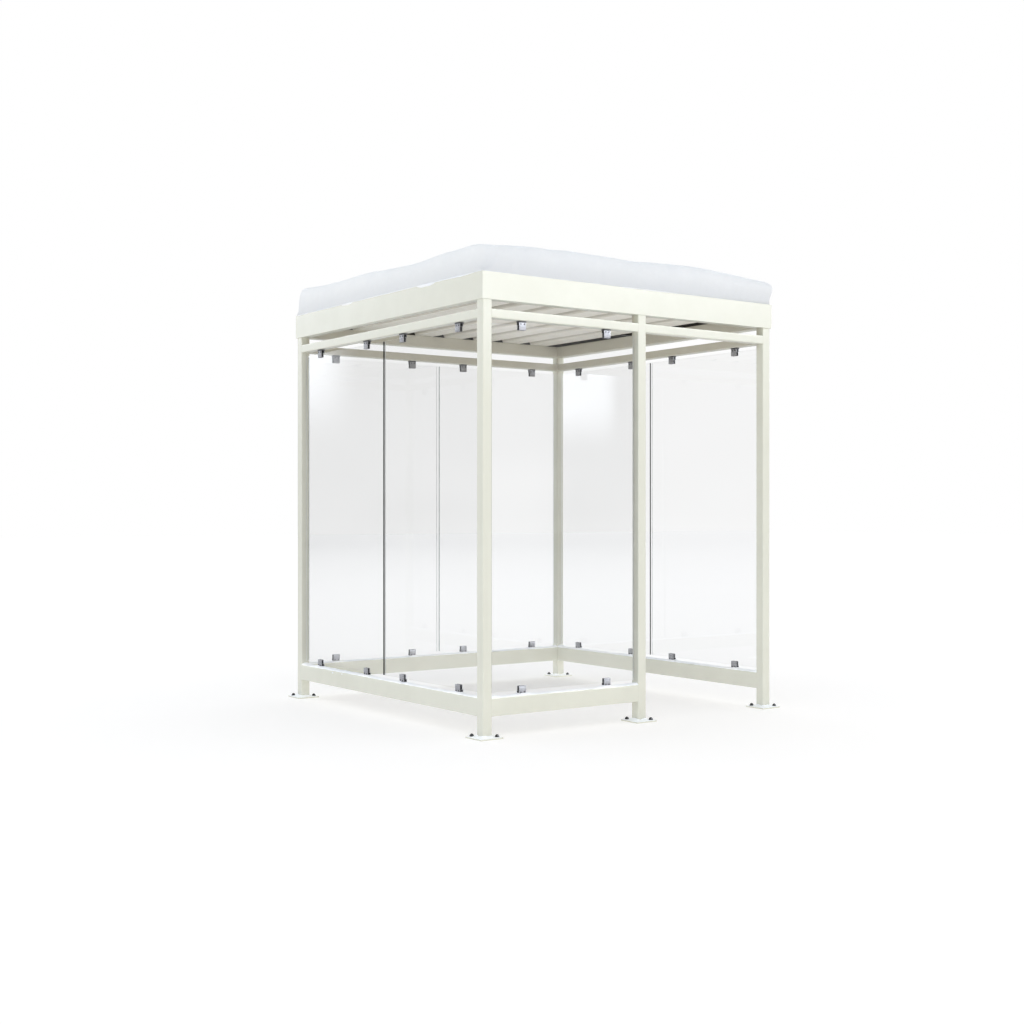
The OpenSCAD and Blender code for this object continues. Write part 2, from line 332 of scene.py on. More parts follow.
class Nodes:
    """Short calls for building the node tree of a material, world or group."""

    def __init__(self, tree: bpy.types.NodeTree) -> None:
        """Keeps the tree that the calls add to."""
        self.tree = tree

    def add(self, kind: str, values: dict | None = None, **settings: object) -> bpy.types.Node:
        """Adds a node.

        Args:
            kind: the node's type name.
            values: input values or links, by socket name or number.
            settings: properties of the node.

        Returns:
            The node.
        """
        node = self.tree.nodes.new(kind)
        for key, value in settings.items():
            setattr(node, key, value)
        for key, value in (values or {}).items():
            if isinstance(value, bpy.types.NodeSocket):
                self.tree.links.new(value, node.inputs[key])
            else:
                node.inputs[key].default_value = value
        return node

    def noise(self, where: Socket, scale: float, detail: float = 4.0,
              roughness: float = 0.55) -> Socket:
        """Value of a noise pattern at a place, about 0.5 on average."""
        values = {"Vector": where, "Scale": scale, "Detail": detail, "Roughness": roughness}
        return self.add("ShaderNodeTexNoise", values).outputs["Fac"]

    def spread(self, value: Socket, low: float, high: float, to_low: float = 0.0,
               to_high: float = 1.0, smooth: bool = False) -> Socket:
        """Carries a range of values over to another range, clamped at its ends."""
        values = {"Value": value, "From Min": low, "From Max": high, "To Min": to_low, "To Max": to_high}
        way = "SMOOTHSTEP" if smooth else "LINEAR"
        return self.add("ShaderNodeMapRange", values, interpolation_type=way).outputs["Result"]

    def math(self, operation: str, first: object, second: object = 0.0,
             third: object = 0.0) -> Socket:
        """Result of a sum, product or other operation on two or three values."""
        return self.add("ShaderNodeMath", {0: first, 1: second, 2: third}, operation=operation).outputs[0]

    def blend(self, share: object, first: object, second: object) -> Socket:
        """Blend of two values, by the share of the second."""
        return self.math("MULTIPLY_ADD", self.math("SUBTRACT", second, first), share, first)

    def mix(self, share: object, first: object, second: object) -> Socket:
        """Blend of two colours, by the share of the second."""
        values = {MIX_FACTOR: share, MIX_FIRST: first, MIX_SECOND: second}
        return self.add("ShaderNodeMix", values, data_type="RGBA").outputs[MIX_RESULT]

    def vector(self, operation: str, first: object,
               second: object = (0.0, 0.0, 0.0)) -> bpy.types.Node:
        """Node that works on one vector or two."""
        return self.add("ShaderNodeVectorMath", {0: first, 1: second}, operation=operation)

    def parts(self, vector: Socket) -> Sockets:
        """The X, Y and Z of a vector."""
        return self.add("ShaderNodeSeparateXYZ", {"Vector": vector}).outputs

    def drawn(self, where: Socket, scale: Triple,
              turn: Triple = (0.0, 0.0, 0.0)) -> Socket:
        """A place turned and scaled along each axis, so that patterns come out drawn in length."""
        values = {"Vector": where, "Rotation": turn, "Scale": scale}
        return self.add("ShaderNodeMapping", values).outputs["Vector"]

    def grey(self, value: Socket) -> Socket:
        """A neutral colour of the given brightness."""
        return self.add("ShaderNodeCombineColor", {0: value, 1: value, 2: value}).outputs[0]


def colour(red: float, green: float, blue: float) -> Colour:
    """A linear colour with full opacity."""
    return (red, green, blue, 1.0)


WHITE = colour(1.0, 1.0, 1.0)


def speckle_group() -> bpy.types.NodeTree:
    """Shared group: how a finish varies over a surface.

    It puts out a broad mask of weathering, a fine grain for the height, and the
    roughness that follows from the mask.

    Returns:
        The group, which is made on its first use.
    """
    name = "surface_variation"
    if name in bpy.data.node_groups:
        return bpy.data.node_groups[name]
    tree = bpy.data.node_groups.new(name, "ShaderNodeTree")
    tree.interface.new_socket("Place", in_out="INPUT", socket_type="NodeSocketVector")
    for label in ("Broad Scale", "Fine Scale", "Roughness Low", "Roughness High"):
        tree.interface.new_socket(label, in_out="INPUT", socket_type="NodeSocketFloat")
    for label in ("Mask", "Grain", "Roughness"):
        tree.interface.new_socket(label, in_out="OUTPUT", socket_type="NodeSocketFloat")
    nodes = Nodes(tree)
    given = nodes.add("NodeGroupInput").outputs
    broad = nodes.noise(given["Place"], given["Broad Scale"], 5.0, 0.6)
    fine = nodes.noise(given["Place"], given["Fine Scale"], 2.0, 0.5)
    mask = nodes.spread(broad, 0.35, 0.65, smooth=True)
    rough = nodes.spread(mask, 0.0, 1.0, given["Roughness Low"], given["Roughness High"])
    nodes.add("NodeGroupOutput", {"Mask": mask, "Grain": fine, "Roughness": rough})
    return tree


class Finish:
    """Base of the finishes: makes a material once and hands it out."""

    name: str

    def material(self) -> bpy.types.Material:
        """The finish's material, made on its first use."""
        made = bpy.data.materials.get(self.name)
        if made is None:
            made = bpy.data.materials.new(self.name)
            made.use_nodes = True
            made.node_tree.nodes.clear()
            nodes = Nodes(made.node_tree)
            shader = self.shader(nodes)
            nodes.add("ShaderNodeOutputMaterial", {"Surface": shader.outputs[0]})
        return made

    def shader(self, nodes: Nodes) -> bpy.types.Node:
        """Builds the nodes and returns the surface shader."""
        raise NotImplementedError

    @staticmethod
    def place(nodes: Nodes) -> Socket:
        """Position on the object, in metres."""
        return nodes.add("ShaderNodeTexCoord").outputs["Object"]

    @staticmethod
    def variation(nodes: Nodes, place: Socket, broad: float, fine: float,
                  rough: Pair) -> Sockets:
        """Places the shared variation group.

        Args:
            nodes: the material's nodes.
            place: position on the object.
            broad: scale of the weathering, per metre.
            fine: scale of the grain, per metre.
            rough: lowest and highest roughness.

        Returns:
            The group's outputs by name.
        """
        values = {"Place": place, "Broad Scale": broad, "Fine Scale": fine,
                  "Roughness Low": rough[0], "Roughness High": rough[1]}
        return nodes.add("ShaderNodeGroup", values, node_tree=speckle_group()).outputs

    @staticmethod
    def bump(nodes: Nodes, height: Socket, depth: float) -> Socket:
        """Normal of a surface raised by a height pattern, with its depth in metres."""
        return nodes.add("ShaderNodeBump", {"Distance": depth, "Height": height}).outputs["Normal"]


@dataclass(frozen=True)
class Coating(Finish):
    """Cream powder coating: a fine orange peel, faint clouding, dust low down, and painted shade, warmer
    and darker, on the inner faces high under the roof.
    """

    name: str = "cream_coating"
    clean: Colour = colour(0.766, 0.768, 0.676)
    clouded: Colour = colour(0.736, 0.738, 0.646)
    dust: Colour = colour(0.60, 0.59, 0.52)
    dust_top: float = 0.22
    dust_share: float = 0.35
    dust_scale: float = 30.0
    # Painted shade: colour of the upper inner faces under the roof, and the heights and distances where it
    # sets in.
    painted_roof_shade: Colour = colour(0.645, 0.62, 0.53)
    painted_roof_shade_from: Pair = (2.27, 2.31)
    painted_roof_shade_within: Pair = (1.050, 1.070)
    rough: Pair = (0.18, 0.27)
    cloud_scale: float = 3.0
    peel_scale: float = 420.0
    peel_depth: float = 0.00006

    def shader(self, nodes: Nodes) -> bpy.types.Node:
        """A dielectric coat that clouds slowly, dulls near the ground, and has painted shade, warmer and
        darker, inside at the top.
        """
        place = self.place(nodes)
        varied = self.variation(nodes, place, self.cloud_scale, self.peel_scale, self.rough)
        paint = nodes.mix(varied["Mask"], self.clean, self.clouded)
        height = nodes.parts(place)["Z"]
        low = nodes.spread(height, 0.0, self.dust_top, 1.0, 0.0, smooth=True)
        blot = nodes.spread(nodes.noise(place, self.dust_scale, 6.0, 0.7), 0.45, 0.75, 0.0, self.dust_share)
        paint = nodes.mix(nodes.math("MULTIPLY", low, blot), paint, self.dust)
        # Painted shade: faces inside the ring and high under the roof take the warmer, darker colour.
        plan = nodes.parts(nodes.vector("ABSOLUTE", place).outputs[0])
        from_middle = nodes.math("MAXIMUM", plan["X"], plan["Y"])
        inside = nodes.spread(from_middle, *self.painted_roof_shade_within, 1.0, 0.0)
        inside = nodes.math("MULTIPLY", inside, nodes.spread(height, *self.painted_roof_shade_from))
        return nodes.add("ShaderNodeBsdfPrincipled", {
            "Base Color": nodes.mix(inside, paint, self.painted_roof_shade), "Roughness": varied["Roughness"],
            "IOR": 1.5, "Normal": self.bump(nodes, varied["Grain"], self.peel_depth)})


@dataclass(frozen=True)
class SheetCoating(Finish):
    """Coil coating of the ribbed roof sheet: faint rolling lines, and painted shade up in the flutes."""

    name: str = "roof_sheet_coating"
    clean: Colour = colour(0.94, 0.91, 0.825)
    stained: Colour = colour(0.86, 0.83, 0.745)
    # Painted shade: the colour that darkens the rib slopes and crests above the flats.
    painted_flute_shade: Colour = colour(0.58, 0.55, 0.48)
    painted_flute_shade_share: float = 0.85
    painted_flute_shade_from: float = 2 * MM
    painted_flute_shade_full: float = 14 * MM
    rough: Pair = (0.34, 0.48)
    along_ribs: Triple = (14.0, 0.7, 14.0)
    streak_scale: float = 2.0
    patch_scale: float = 5.0
    grain_scale: float = 600.0
    grain_depth: float = 0.00004

    def shader(self, nodes: Nodes) -> bpy.types.Node:
        """A dull coat with streaks drawn out along the ribs, and painted shade that darkens it above the
        flats.
        """
        place = self.place(nodes)
        flats = float(node_box("roof_sheet")[0][2])
        # Painted shade up in the flutes, from just above the flats.
        inside = nodes.spread(nodes.parts(place)["Z"], flats + self.painted_flute_shade_from, flats + self.painted_flute_shade_full,
                              0.0, self.painted_flute_shade_share, smooth=True)
        streak = nodes.noise(nodes.drawn(place, self.along_ribs), self.streak_scale, 5.0, 0.6)
        coat = nodes.mix(nodes.spread(streak, 0.4, 0.7), self.clean, self.stained)
        varied = self.variation(nodes, place, self.patch_scale, self.grain_scale, self.rough)
        return nodes.add("ShaderNodeBsdfPrincipled", {
            "Base Color": nodes.mix(inside, coat, self.painted_flute_shade), "Roughness": varied["Roughness"],
            "Normal": self.bump(nodes, varied["Grain"], self.grain_depth)})


@dataclass(frozen=True)
class ClearGlass(Finish):
    """Polished faces of the panes: clear, with the faintest film of dried moisture."""

    name: str = "clear_glass"
    tint: Colour = colour(0.982, 0.984, 0.984)
    film_scale: float = 7.0
    film_rough: float = 0.03

    def shader(self, nodes: Nodes) -> bpy.types.Node:
        """Clear glass whose roughness rises a little in soft patches."""
        place = self.place(nodes)
        patches = nodes.noise(place, self.film_scale, 6.0, 0.65)
        film = nodes.spread(patches, 0.5, 0.8, 0.0, self.film_rough, smooth=True)
        return nodes.add("ShaderNodeBsdfPrincipled", {
            "Base Color": self.tint, "Roughness": film, "IOR": 1.5, "Transmission Weight": 1.0})


@dataclass(frozen=True)
class GroundGlassEdge(Finish):
    """Ground edges of the panes: near black from outside as painted shade, and pale where seen through the
    glass as painted light.
    """

    name: str = "pane_edge_painted_shade"
    light: Colour = colour(0.012, 0.016, 0.016)
    dark: Colour = colour(0.004, 0.007, 0.007)
    painted_light_within: Colour = colour(0.90, 0.93, 0.92)
    patch_scale: float = 12.0
    grain_scale: float = 900.0
    rough: Pair = (0.45, 0.60)
    grain_depth: float = 0.00003

    def shader(self, nodes: Nodes) -> bpy.types.Node:
        """A satin edge with fine grinding marks, whose near black is painted shade."""
        place = self.place(nodes)
        varied = self.variation(nodes, place, self.patch_scale, self.grain_scale, self.rough)
        ground = nodes.mix(varied["Mask"], self.light, self.dark)
        # Painted light: the back side of the edge, seen through the glass, takes the pale colour.
        within = nodes.add("ShaderNodeNewGeometry").outputs["Backfacing"]
        return nodes.add("ShaderNodeBsdfPrincipled", {
            "Base Color": nodes.mix(within, ground, self.painted_light_within),
            "Roughness": varied["Roughness"], "IOR": 1.5, "Specular IOR Level": 0.2,
            "Normal": self.bump(nodes, varied["Grain"], self.grain_depth)})


@dataclass(frozen=True)
class TwoTone(Finish):
    """A plain finish whose two tones lie over each other in soft patches, with a fine grain."""

    name: str
    first: Colour
    second: Colour
    patch_scale: float
    grain_scale: float
    rough: Pair
    grain_depth: float
    metallic: float = 0.0
    stretch: Triple = (1.0, 1.0, 1.0)

    def shader(self, nodes: Nodes) -> bpy.types.Node:
        """Both tones and the roughness follow one mask, which can be drawn out along an axis."""
        place = nodes.drawn(self.place(nodes), self.stretch)
        varied = self.variation(nodes, place, self.patch_scale, self.grain_scale, self.rough)
        return nodes.add("ShaderNodeBsdfPrincipled", {
            "Base Color": nodes.mix(varied["Mask"], self.first, self.second),
            "Metallic": self.metallic, "Roughness": varied["Roughness"],
            "Normal": self.bump(nodes, varied["Grain"], self.grain_depth)})


@dataclass(frozen=True)
class Snow(Finish):
    """Settled snow: bright, with painted shade that greys it towards its foot and on faces turned to the
    front right, a painted glow where one is set, and a granular skin.
    """

    name: str = "settled_snow"
    crest: Colour = colour(0.94, 0.95, 0.95)
    hollow: Colour = colour(0.91, 0.925, 0.93)
    # Painted shade: the greyer colour towards the foot of the snow.
    painted_foot_shade: Colour = colour(0.765, 0.78, 0.79)
    # Painted shade: a greyer, bluer tint on faces that turn to the front right.
    front: Colour = colour(0.935, 0.945, 0.97)
    painted_shade_way: Triple = (0.7, -0.7, 0.0)
    foot_z: float = 2.55
    foot_height: float = 0.17
    foot_shade_share: float = 0.9
    rough: Pair = (0.75, 0.92)
    patch_scale: float = 3.0
    grain_scale: float = 260.0
    drift_scale: float = 14.0
    skin_depth: float = 0.0024
    drifts: float = 3.0
    grains: float = 0.4
    streaks: float = 5.5
    streak_turn: Triple = (0.4, 0.4, 0.0)
    streak_scale: Triple = (11.0, 11.0, 2.2)
    # Painted glow: strength of the light the snow gives off in its own colour.
    glow: float = 0.0

    def shader(self, nodes: Nodes) -> bpy.types.Node:
        """A matt white with a fine grain, soft drifts, slanting streaks, painted shade at its foot and on
        its front, and a painted glow in its own colour.
        """
        place = self.place(nodes)
        varied = self.variation(nodes, place, self.patch_scale, self.grain_scale, self.rough)
        snow = nodes.mix(varied["Mask"], self.crest, self.hollow)
        # Painted shade: greyer towards the foot, over the lowest part of the snow.
        foot = nodes.spread(nodes.parts(place)["Z"], self.foot_z, self.foot_z + self.foot_height,
                            self.foot_shade_share, 0.0, smooth=True)
        snow = nodes.mix(foot, snow, self.painted_foot_shade)
        # Painted shade: faces that turn to the front right are tinted greyer.
        normal = nodes.add("ShaderNodeTexCoord").outputs["Normal"]
        facing = nodes.vector("DOT_PRODUCT", normal, self.painted_shade_way).outputs["Value"]
        front_shade_tint = nodes.mix(nodes.spread(facing, -0.6, 0.6, smooth=True), WHITE, self.front)
        snow = nodes.vector("MULTIPLY", snow, front_shade_tint).outputs[0]
        drift = nodes.math("MULTIPLY", nodes.noise(place, self.drift_scale, 4.0, 0.5), self.drifts)
        relief = nodes.math("ADD", drift, nodes.math("MULTIPLY", varied["Grain"], self.grains))
        streak = nodes.noise(nodes.drawn(place, self.streak_scale, self.streak_turn), 1.0, 2.0, 0.4)
        relief = nodes.math("MULTIPLY_ADD", streak, self.streaks, relief)
        # Painted glow: the snow gives off light in its own colour, as strong as its glow.
        return nodes.add("ShaderNodeBsdfPrincipled", {
            "Base Color": snow, "Roughness": varied["Roughness"], "IOR": 1.31, "Specular IOR Level": 0.05,
            "Emission Color": snow, "Emission Strength": self.glow,
            "Normal": self.bump(nodes, relief, self.skin_depth)})


@dataclass(frozen=True)
class StudioFloor(Finish):
    """Plain white floor of the studio."""

    name: str = "studio_floor"
    tone: Colour = colour(0.640, 0.622, 0.604)
    clouded: Colour = colour(0.630, 0.612, 0.594)
    cloud_scale: float = 0.6
    glow: float = 0.475
    lit_glow: Pair = (0.555, 0.62)
    seen_glow: Pair = (0.362, 0.408)
    mirrored_tone: Colour = colour(0.12, 0.12, 0.12)
    mirrored_glow: Pair = (0.53, 0.06)
    fade: Pair = (13.0, 45.0)

    def shader(self, nodes: Nodes) -> bpy.types.Node:
        """A matt white, half of it lit from within, with barely visible clouding.

        Polished faces mirror a dimmer floor that darkens with the distance. Light
        that reaches other faces from it is stronger, and what shows through one
        pane or two is a little dimmer.
        """
        place = self.place(nodes)
        cloud = nodes.spread(nodes.noise(place, self.cloud_scale, 3.0, 0.5), 0.3, 0.7)
        path = nodes.add("ShaderNodeLightPath").outputs
        mirrored = nodes.math("MINIMUM", path["Glossy Depth"], 1.0)
        far = nodes.vector("LENGTH", place).outputs["Value"]
        dim = nodes.spread(far, *self.fade, *self.mirrored_glow)
        behind_pane = nodes.math("MINIMUM", path["Transmission Depth"], 1.0)
        lit = nodes.spread(behind_pane, 0.0, 1.0, *self.lit_glow)
        seen = nodes.spread(path["Transmission Depth"], 2.0, 4.0, *self.seen_glow)
        seen = nodes.blend(behind_pane, self.glow, seen)
        near = nodes.blend(nodes.math("MINIMUM", path["Diffuse Depth"], 1.0), seen, lit)
        plain = nodes.mix(cloud, self.tone, self.clouded)
        return nodes.add("ShaderNodeBsdfPrincipled", {
            "Base Color": nodes.mix(mirrored, plain, self.mirrored_tone), "Roughness": 0.9,
            "Specular IOR Level": 0.0, "Emission Strength": 1.0,
            "Emission Color": nodes.mix(mirrored, nodes.grey(near), nodes.grey(dim))})


COATING, SHEET, GLASS, FLOOR = Coating(), SheetCoating(), ClearGlass(), StudioFloor()
# The edges' near black is painted shade; the rear panes get a paler copy, painted light.
EDGE = GroundGlassEdge()
PALE_EDGE_PAINTED_LIGHT = GroundGlassEdge(name="pale_pane_edge_painted_light", light=colour(0.30, 0.33, 0.32),
                            dark=colour(0.20, 0.24, 0.23))

# Zinc plating of the clamps' jaws, darker on their feet as painted shade next to the rail, and blackened on
# the screws.
ZINC = TwoTone("zinc_plating", colour(0.50, 0.50, 0.525), colour(0.29, 0.29, 0.31), 45.0, 700.0,
               (0.34, 0.50), 0.00004, metallic=0.3, stretch=(1.0, 1.0, 9.0))
FOOT_ZINC_PAINTED_SHADE = replace(ZINC, name="zinc_feet_painted_shade", first=colour(0.17, 0.17, 0.18), second=colour(0.11, 0.11, 0.12))
BLACK_SCREW = replace(ZINC, name="blackened_screw", first=colour(0.05, 0.05, 0.055),
                      second=colour(0.02, 0.02, 0.022))

# Rubber of the clamps' linings, moulded plastic of the anchor caps, foam in the ribs.
RUBBER = TwoTone("black_rubber", colour(0.010, 0.010, 0.011), colour(0.028, 0.028, 0.030), 60.0, 1100.0,
                 (0.62, 0.80), 0.00006)
CAP = TwoTone("anchor_cap_black", colour(0.004, 0.004, 0.005), colour(0.014, 0.014, 0.015), 90.0, 900.0,
              (0.32, 0.50), 0.00005)
FOAM = TwoTone("closing_foam", colour(0.016, 0.015, 0.012), colour(0.034, 0.032, 0.026), 40.0, 800.0,
               (0.85, 0.95), 0.0003)

# Deep snow on the roof, and the thin, fresher snow of lips, rails and plates; the snow on rails and plates
# gets a painted glow.
SNOW = Snow()
FRESH_SNOW = Snow(name="fresh_snow", crest=colour(0.97, 0.975, 0.98), hollow=colour(0.90, 0.93, 0.965),
                  front=WHITE, foot_shade_share=0.0, skin_depth=0.0006, streaks=0.0)
RAIL_SNOW_PAINTED_GLOW = replace(FRESH_SNOW, name="rail_snow", glow=0.19)
PLATE_SNOW_PAINTED_GLOW = replace(FRESH_SNOW, name="plate_snow_painted_glow", crest=colour(0.95, 0.965, 0.97),
                     hollow=colour(0.88, 0.91, 0.93), glow=0.17)


def dress(names: list[str], finish: Finish) -> None:
    """Gives frame nodes a finish.

    Args:
        names: the nodes' names.
        finish: the finish that every face gets.
    """
    for name in names:
        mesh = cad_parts[name].data
        mesh.materials.clear()
        mesh.materials.append(finish.material())
        LOG.info("dressed %s in %s", name, finish.name)


def nodes_named(*starts: str) -> list[str]:
    """Names of the frame nodes that begin with any of the given words."""
    return sorted(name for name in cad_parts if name.startswith(starts))


# ---------------------------------------------------------------- assemblies

# First numbers of the random draws that fix every relief.
SIDE_SEED, TOP_SEED, RAIL_SEED, PLATE_SEED, LIP_SEED, CRUMB_SEED = 7, 11, 100, 300, 400, 450


@dataclass
class SteelFrame:
    """Posts, rails, roof beams and base plates, with the weld beads that join them."""

    bead_radius: float = 4.0 * MM
    bead_sink: float = 3.2 * MM
    ripple_pitch: float = 4.0 * MM
    ripple_share: float = 0.09
    tube_corner: float = 5.0 * MM
    ripple_points: int = 4
    bead_sides: int = 8

    def bead(self, centre: np.ndarray, across: np.ndarray, up: np.ndarray, width: float,
             depth: float) -> Surface:
        """A weld bead round the end of a tube.

        Formula: a circle of the bead's radius is carried along the tube's
        outline, drawn in by the sink, and swells and shrinks with each ripple.

        Args:
            centre: middle of the tube's end.
            across: unit vector along the outline's first axis.
            up: unit vector along the outline's second axis.
            width: length of the outline along the first axis.
            depth: length of the outline along the second axis.

        Returns:
            The closed ring.
        """
        sink = 2 * self.bead_sink
        ripples = round(2 * (width + depth - 2 * sink) / self.ripple_pitch)
        line, normal = rounded_outline(width - sink, depth - sink, self.tube_corner - self.bead_sink / 2,
                                       ripples * self.ripple_points)
        beat = np.arange(len(line)) * 2 * math.pi / self.ripple_points
        radius = self.bead_radius * (1 + self.ripple_share * np.cos(beat))[:, None]
        around = np.arange(self.bead_sides) * 2 * math.pi / self.bead_sides
        axes = np.array([across, up])
        inward = np.cross(across, up)
        points = (centre + (line @ axes)[:, None, :]
                  + (radius * np.cos(around))[..., None] * (normal @ axes)[:, None, :]
                  + (radius * np.sin(around))[..., None] * inward)
        quads = grid_quads(len(line), self.bead_sides, ring=True, closed_rows=True)
        return Surface(points.reshape(-1, 3), quads)

    def beads(self, *kinds: str) -> Surface:
        """Beads round both ends of every tube whose name begins with one of the given words."""
        beads = []
        for name in nodes_named(*kinds):
            low, high = node_box(name)
            size = high - low
            run = int(np.argmax(size))
            first, second = (axis for axis in range(3) if axis != run)
            for end in (low[run], high[run]):
                centre = (low + high) / 2
                centre[run] = end
                beads.append(self.bead(centre, AXES[first], AXES[second], size[first], size[second]))
        return joined(beads)

    def build(self) -> None:
        """Dresses the frame's nodes and adds the beads."""
        dress(nodes_named("post", "base_plate", "bottom_rail", "top_rail", "roof_beam"), COATING)
        for name, tubes in (("rail_weld_beads", ("bottom_rail", "top_rail")),
                            ("post_weld_beads", ("post",))):
            add_piece(name, self.beads(*tubes), [COATING.material()], 60.0)


@dataclass
class Roof:
    """Fascia boards, ribbed sheet, and the dark foam that closes its ribs over the beams."""

    foot_spread: float = 19 * MM
    gap: float = 0.6 * MM
    chamfer: float = 1.0 * MM
    recess: float = 2.0 * MM
    sheet: float = 1.0 * MM

    def crests(self) -> list[tuple[float, float]]:
        """Left and right end of the underside of every rib's crest, in order."""
        low, high = node_box("roof_sheet")
        points = np.array([v.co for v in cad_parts["roof_sheet"].data.vertices])
        upper = (points[:, 2] > (low[2] + high[2]) / 2) & (points[:, 2] < high[2] - self.sheet / 2)
        ends = np.unique(np.round(points[upper, 0], 4))
        return [(float(a), float(b)) for a, b in zip(ends[0::2], ends[1::2])]

    def block(self, outline: np.ndarray, start: float, end: float) -> Surface:
        """A block of foam cut to an outline.

        Formula: the outline, drawn in by the chamfer at both ends, is carried
        along Y from start to end.

        Args:
            outline: corners across the rib, X and Z, anticlockwise as seen from the front.
            start: first end along Y.
            end: last end along Y.

        Returns:
            The closed block.
        """
        middle = outline.mean(axis=0)
        span = np.ptp(outline, axis=0) / 2
        small = middle + (outline - middle) * (1 - self.chamfer / span)
        stations = ((small, start), (outline, start + self.chamfer),
                    (outline, end - self.chamfer), (small, end))
        rings = [np.column_stack([line[:, 0], np.full(len(line), y), line[:, 1]]) for line, y in stations]
        size = len(stations), len(outline)
        return Surface(np.concatenate(rings), grid_quads(*size, ring=True), end_caps(*size)).flipped()

    def closers(self) -> Surface:
        """Foam in every rib over the front and rear beams, and along the right beam."""
        crests = self.crests()
        right_low, right_high = node_box("roof_beam_right")
        base = right_high[2] + self.gap
        top = node_box("roof_sheet")[1][2] - self.sheet - self.gap
        blocks = []
        for name in ("roof_beam_front", "roof_beam_rear"):
            low, high = node_box(name)
            start, end = low[1] + self.recess, high[1] - self.recess
            for left, right in crests:
                last = right > right_low[0]
                foot, head = (right, right) if last else (right + self.foot_spread, right - self.gap)
                outline = [[left - self.foot_spread, base], [foot, base],
                           [head, top], [left + self.gap, top]]
                blocks.append(self.block(np.array(outline), start, end))
        left, right = right_low[0] + self.recess, crests[-1][1]
        ends = node_box("roof_beam_front")[1][1], node_box("roof_beam_rear")[0][1]
        blocks.append(self.block(np.array([[left, base], [right, base], [right, top], [left, top]]), *ends))
        return joined(blocks)

    def build(self) -> None:
        """Dresses the roof's nodes and closes the ribs."""
        dress(nodes_named("fascia"), COATING)
        dress(["roof_sheet"], SHEET)
        add_piece("rib_closers", self.closers(), [FOAM.material()])


@dataclass
class Glazing:
    """The panes, each a sheet of glass with its long edges ground to a small arris."""

    arris: float = 0.8 * MM

    def pane(self, name: str) -> None:
        """Makes one pane in the place of its frame node.

        Args:
            name: the node's name, such as glass_front_bay.
        """
        low, high = node_box(name)
        size = high - low
        thin = int(np.argmin(size))
        surface = rounded_block(tuple(size), self.arris, steps=1).moved((low + high) / 2)
        corners = [surface.points[q] for q in surface.quads] + [surface.points[c] for c in surface.caps]
        nearest, farthest = (np.array([pick(c[:, thin]) for c in corners]) for pick in (np.min, np.max))
        flat = farthest - nearest < self.arris / 4
        wide = np.array([np.ptp(c, axis=0).max() for c in corners]) > 10 * size[thin]
        outer = flat & wide & (np.abs(nearest - (low + high)[thin] / 2) > size[thin] / 2 - self.arris / 2)
        # The rear panes' edges are paler, painted light.
        edge = PALE_EDGE_PAINTED_LIGHT if name.startswith("glass_rear") else EDGE
        finishes = [GLASS.material(), edge.material()]
        piece = add_piece(f"pane_{name.removeprefix('glass_')}", surface, finishes, 20.0,
                          np.where(outer, 0, 1))
        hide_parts(name)

    def build(self) -> None:
        """Makes every pane."""
        for name in nodes_named("glass"):
            self.pane(name)


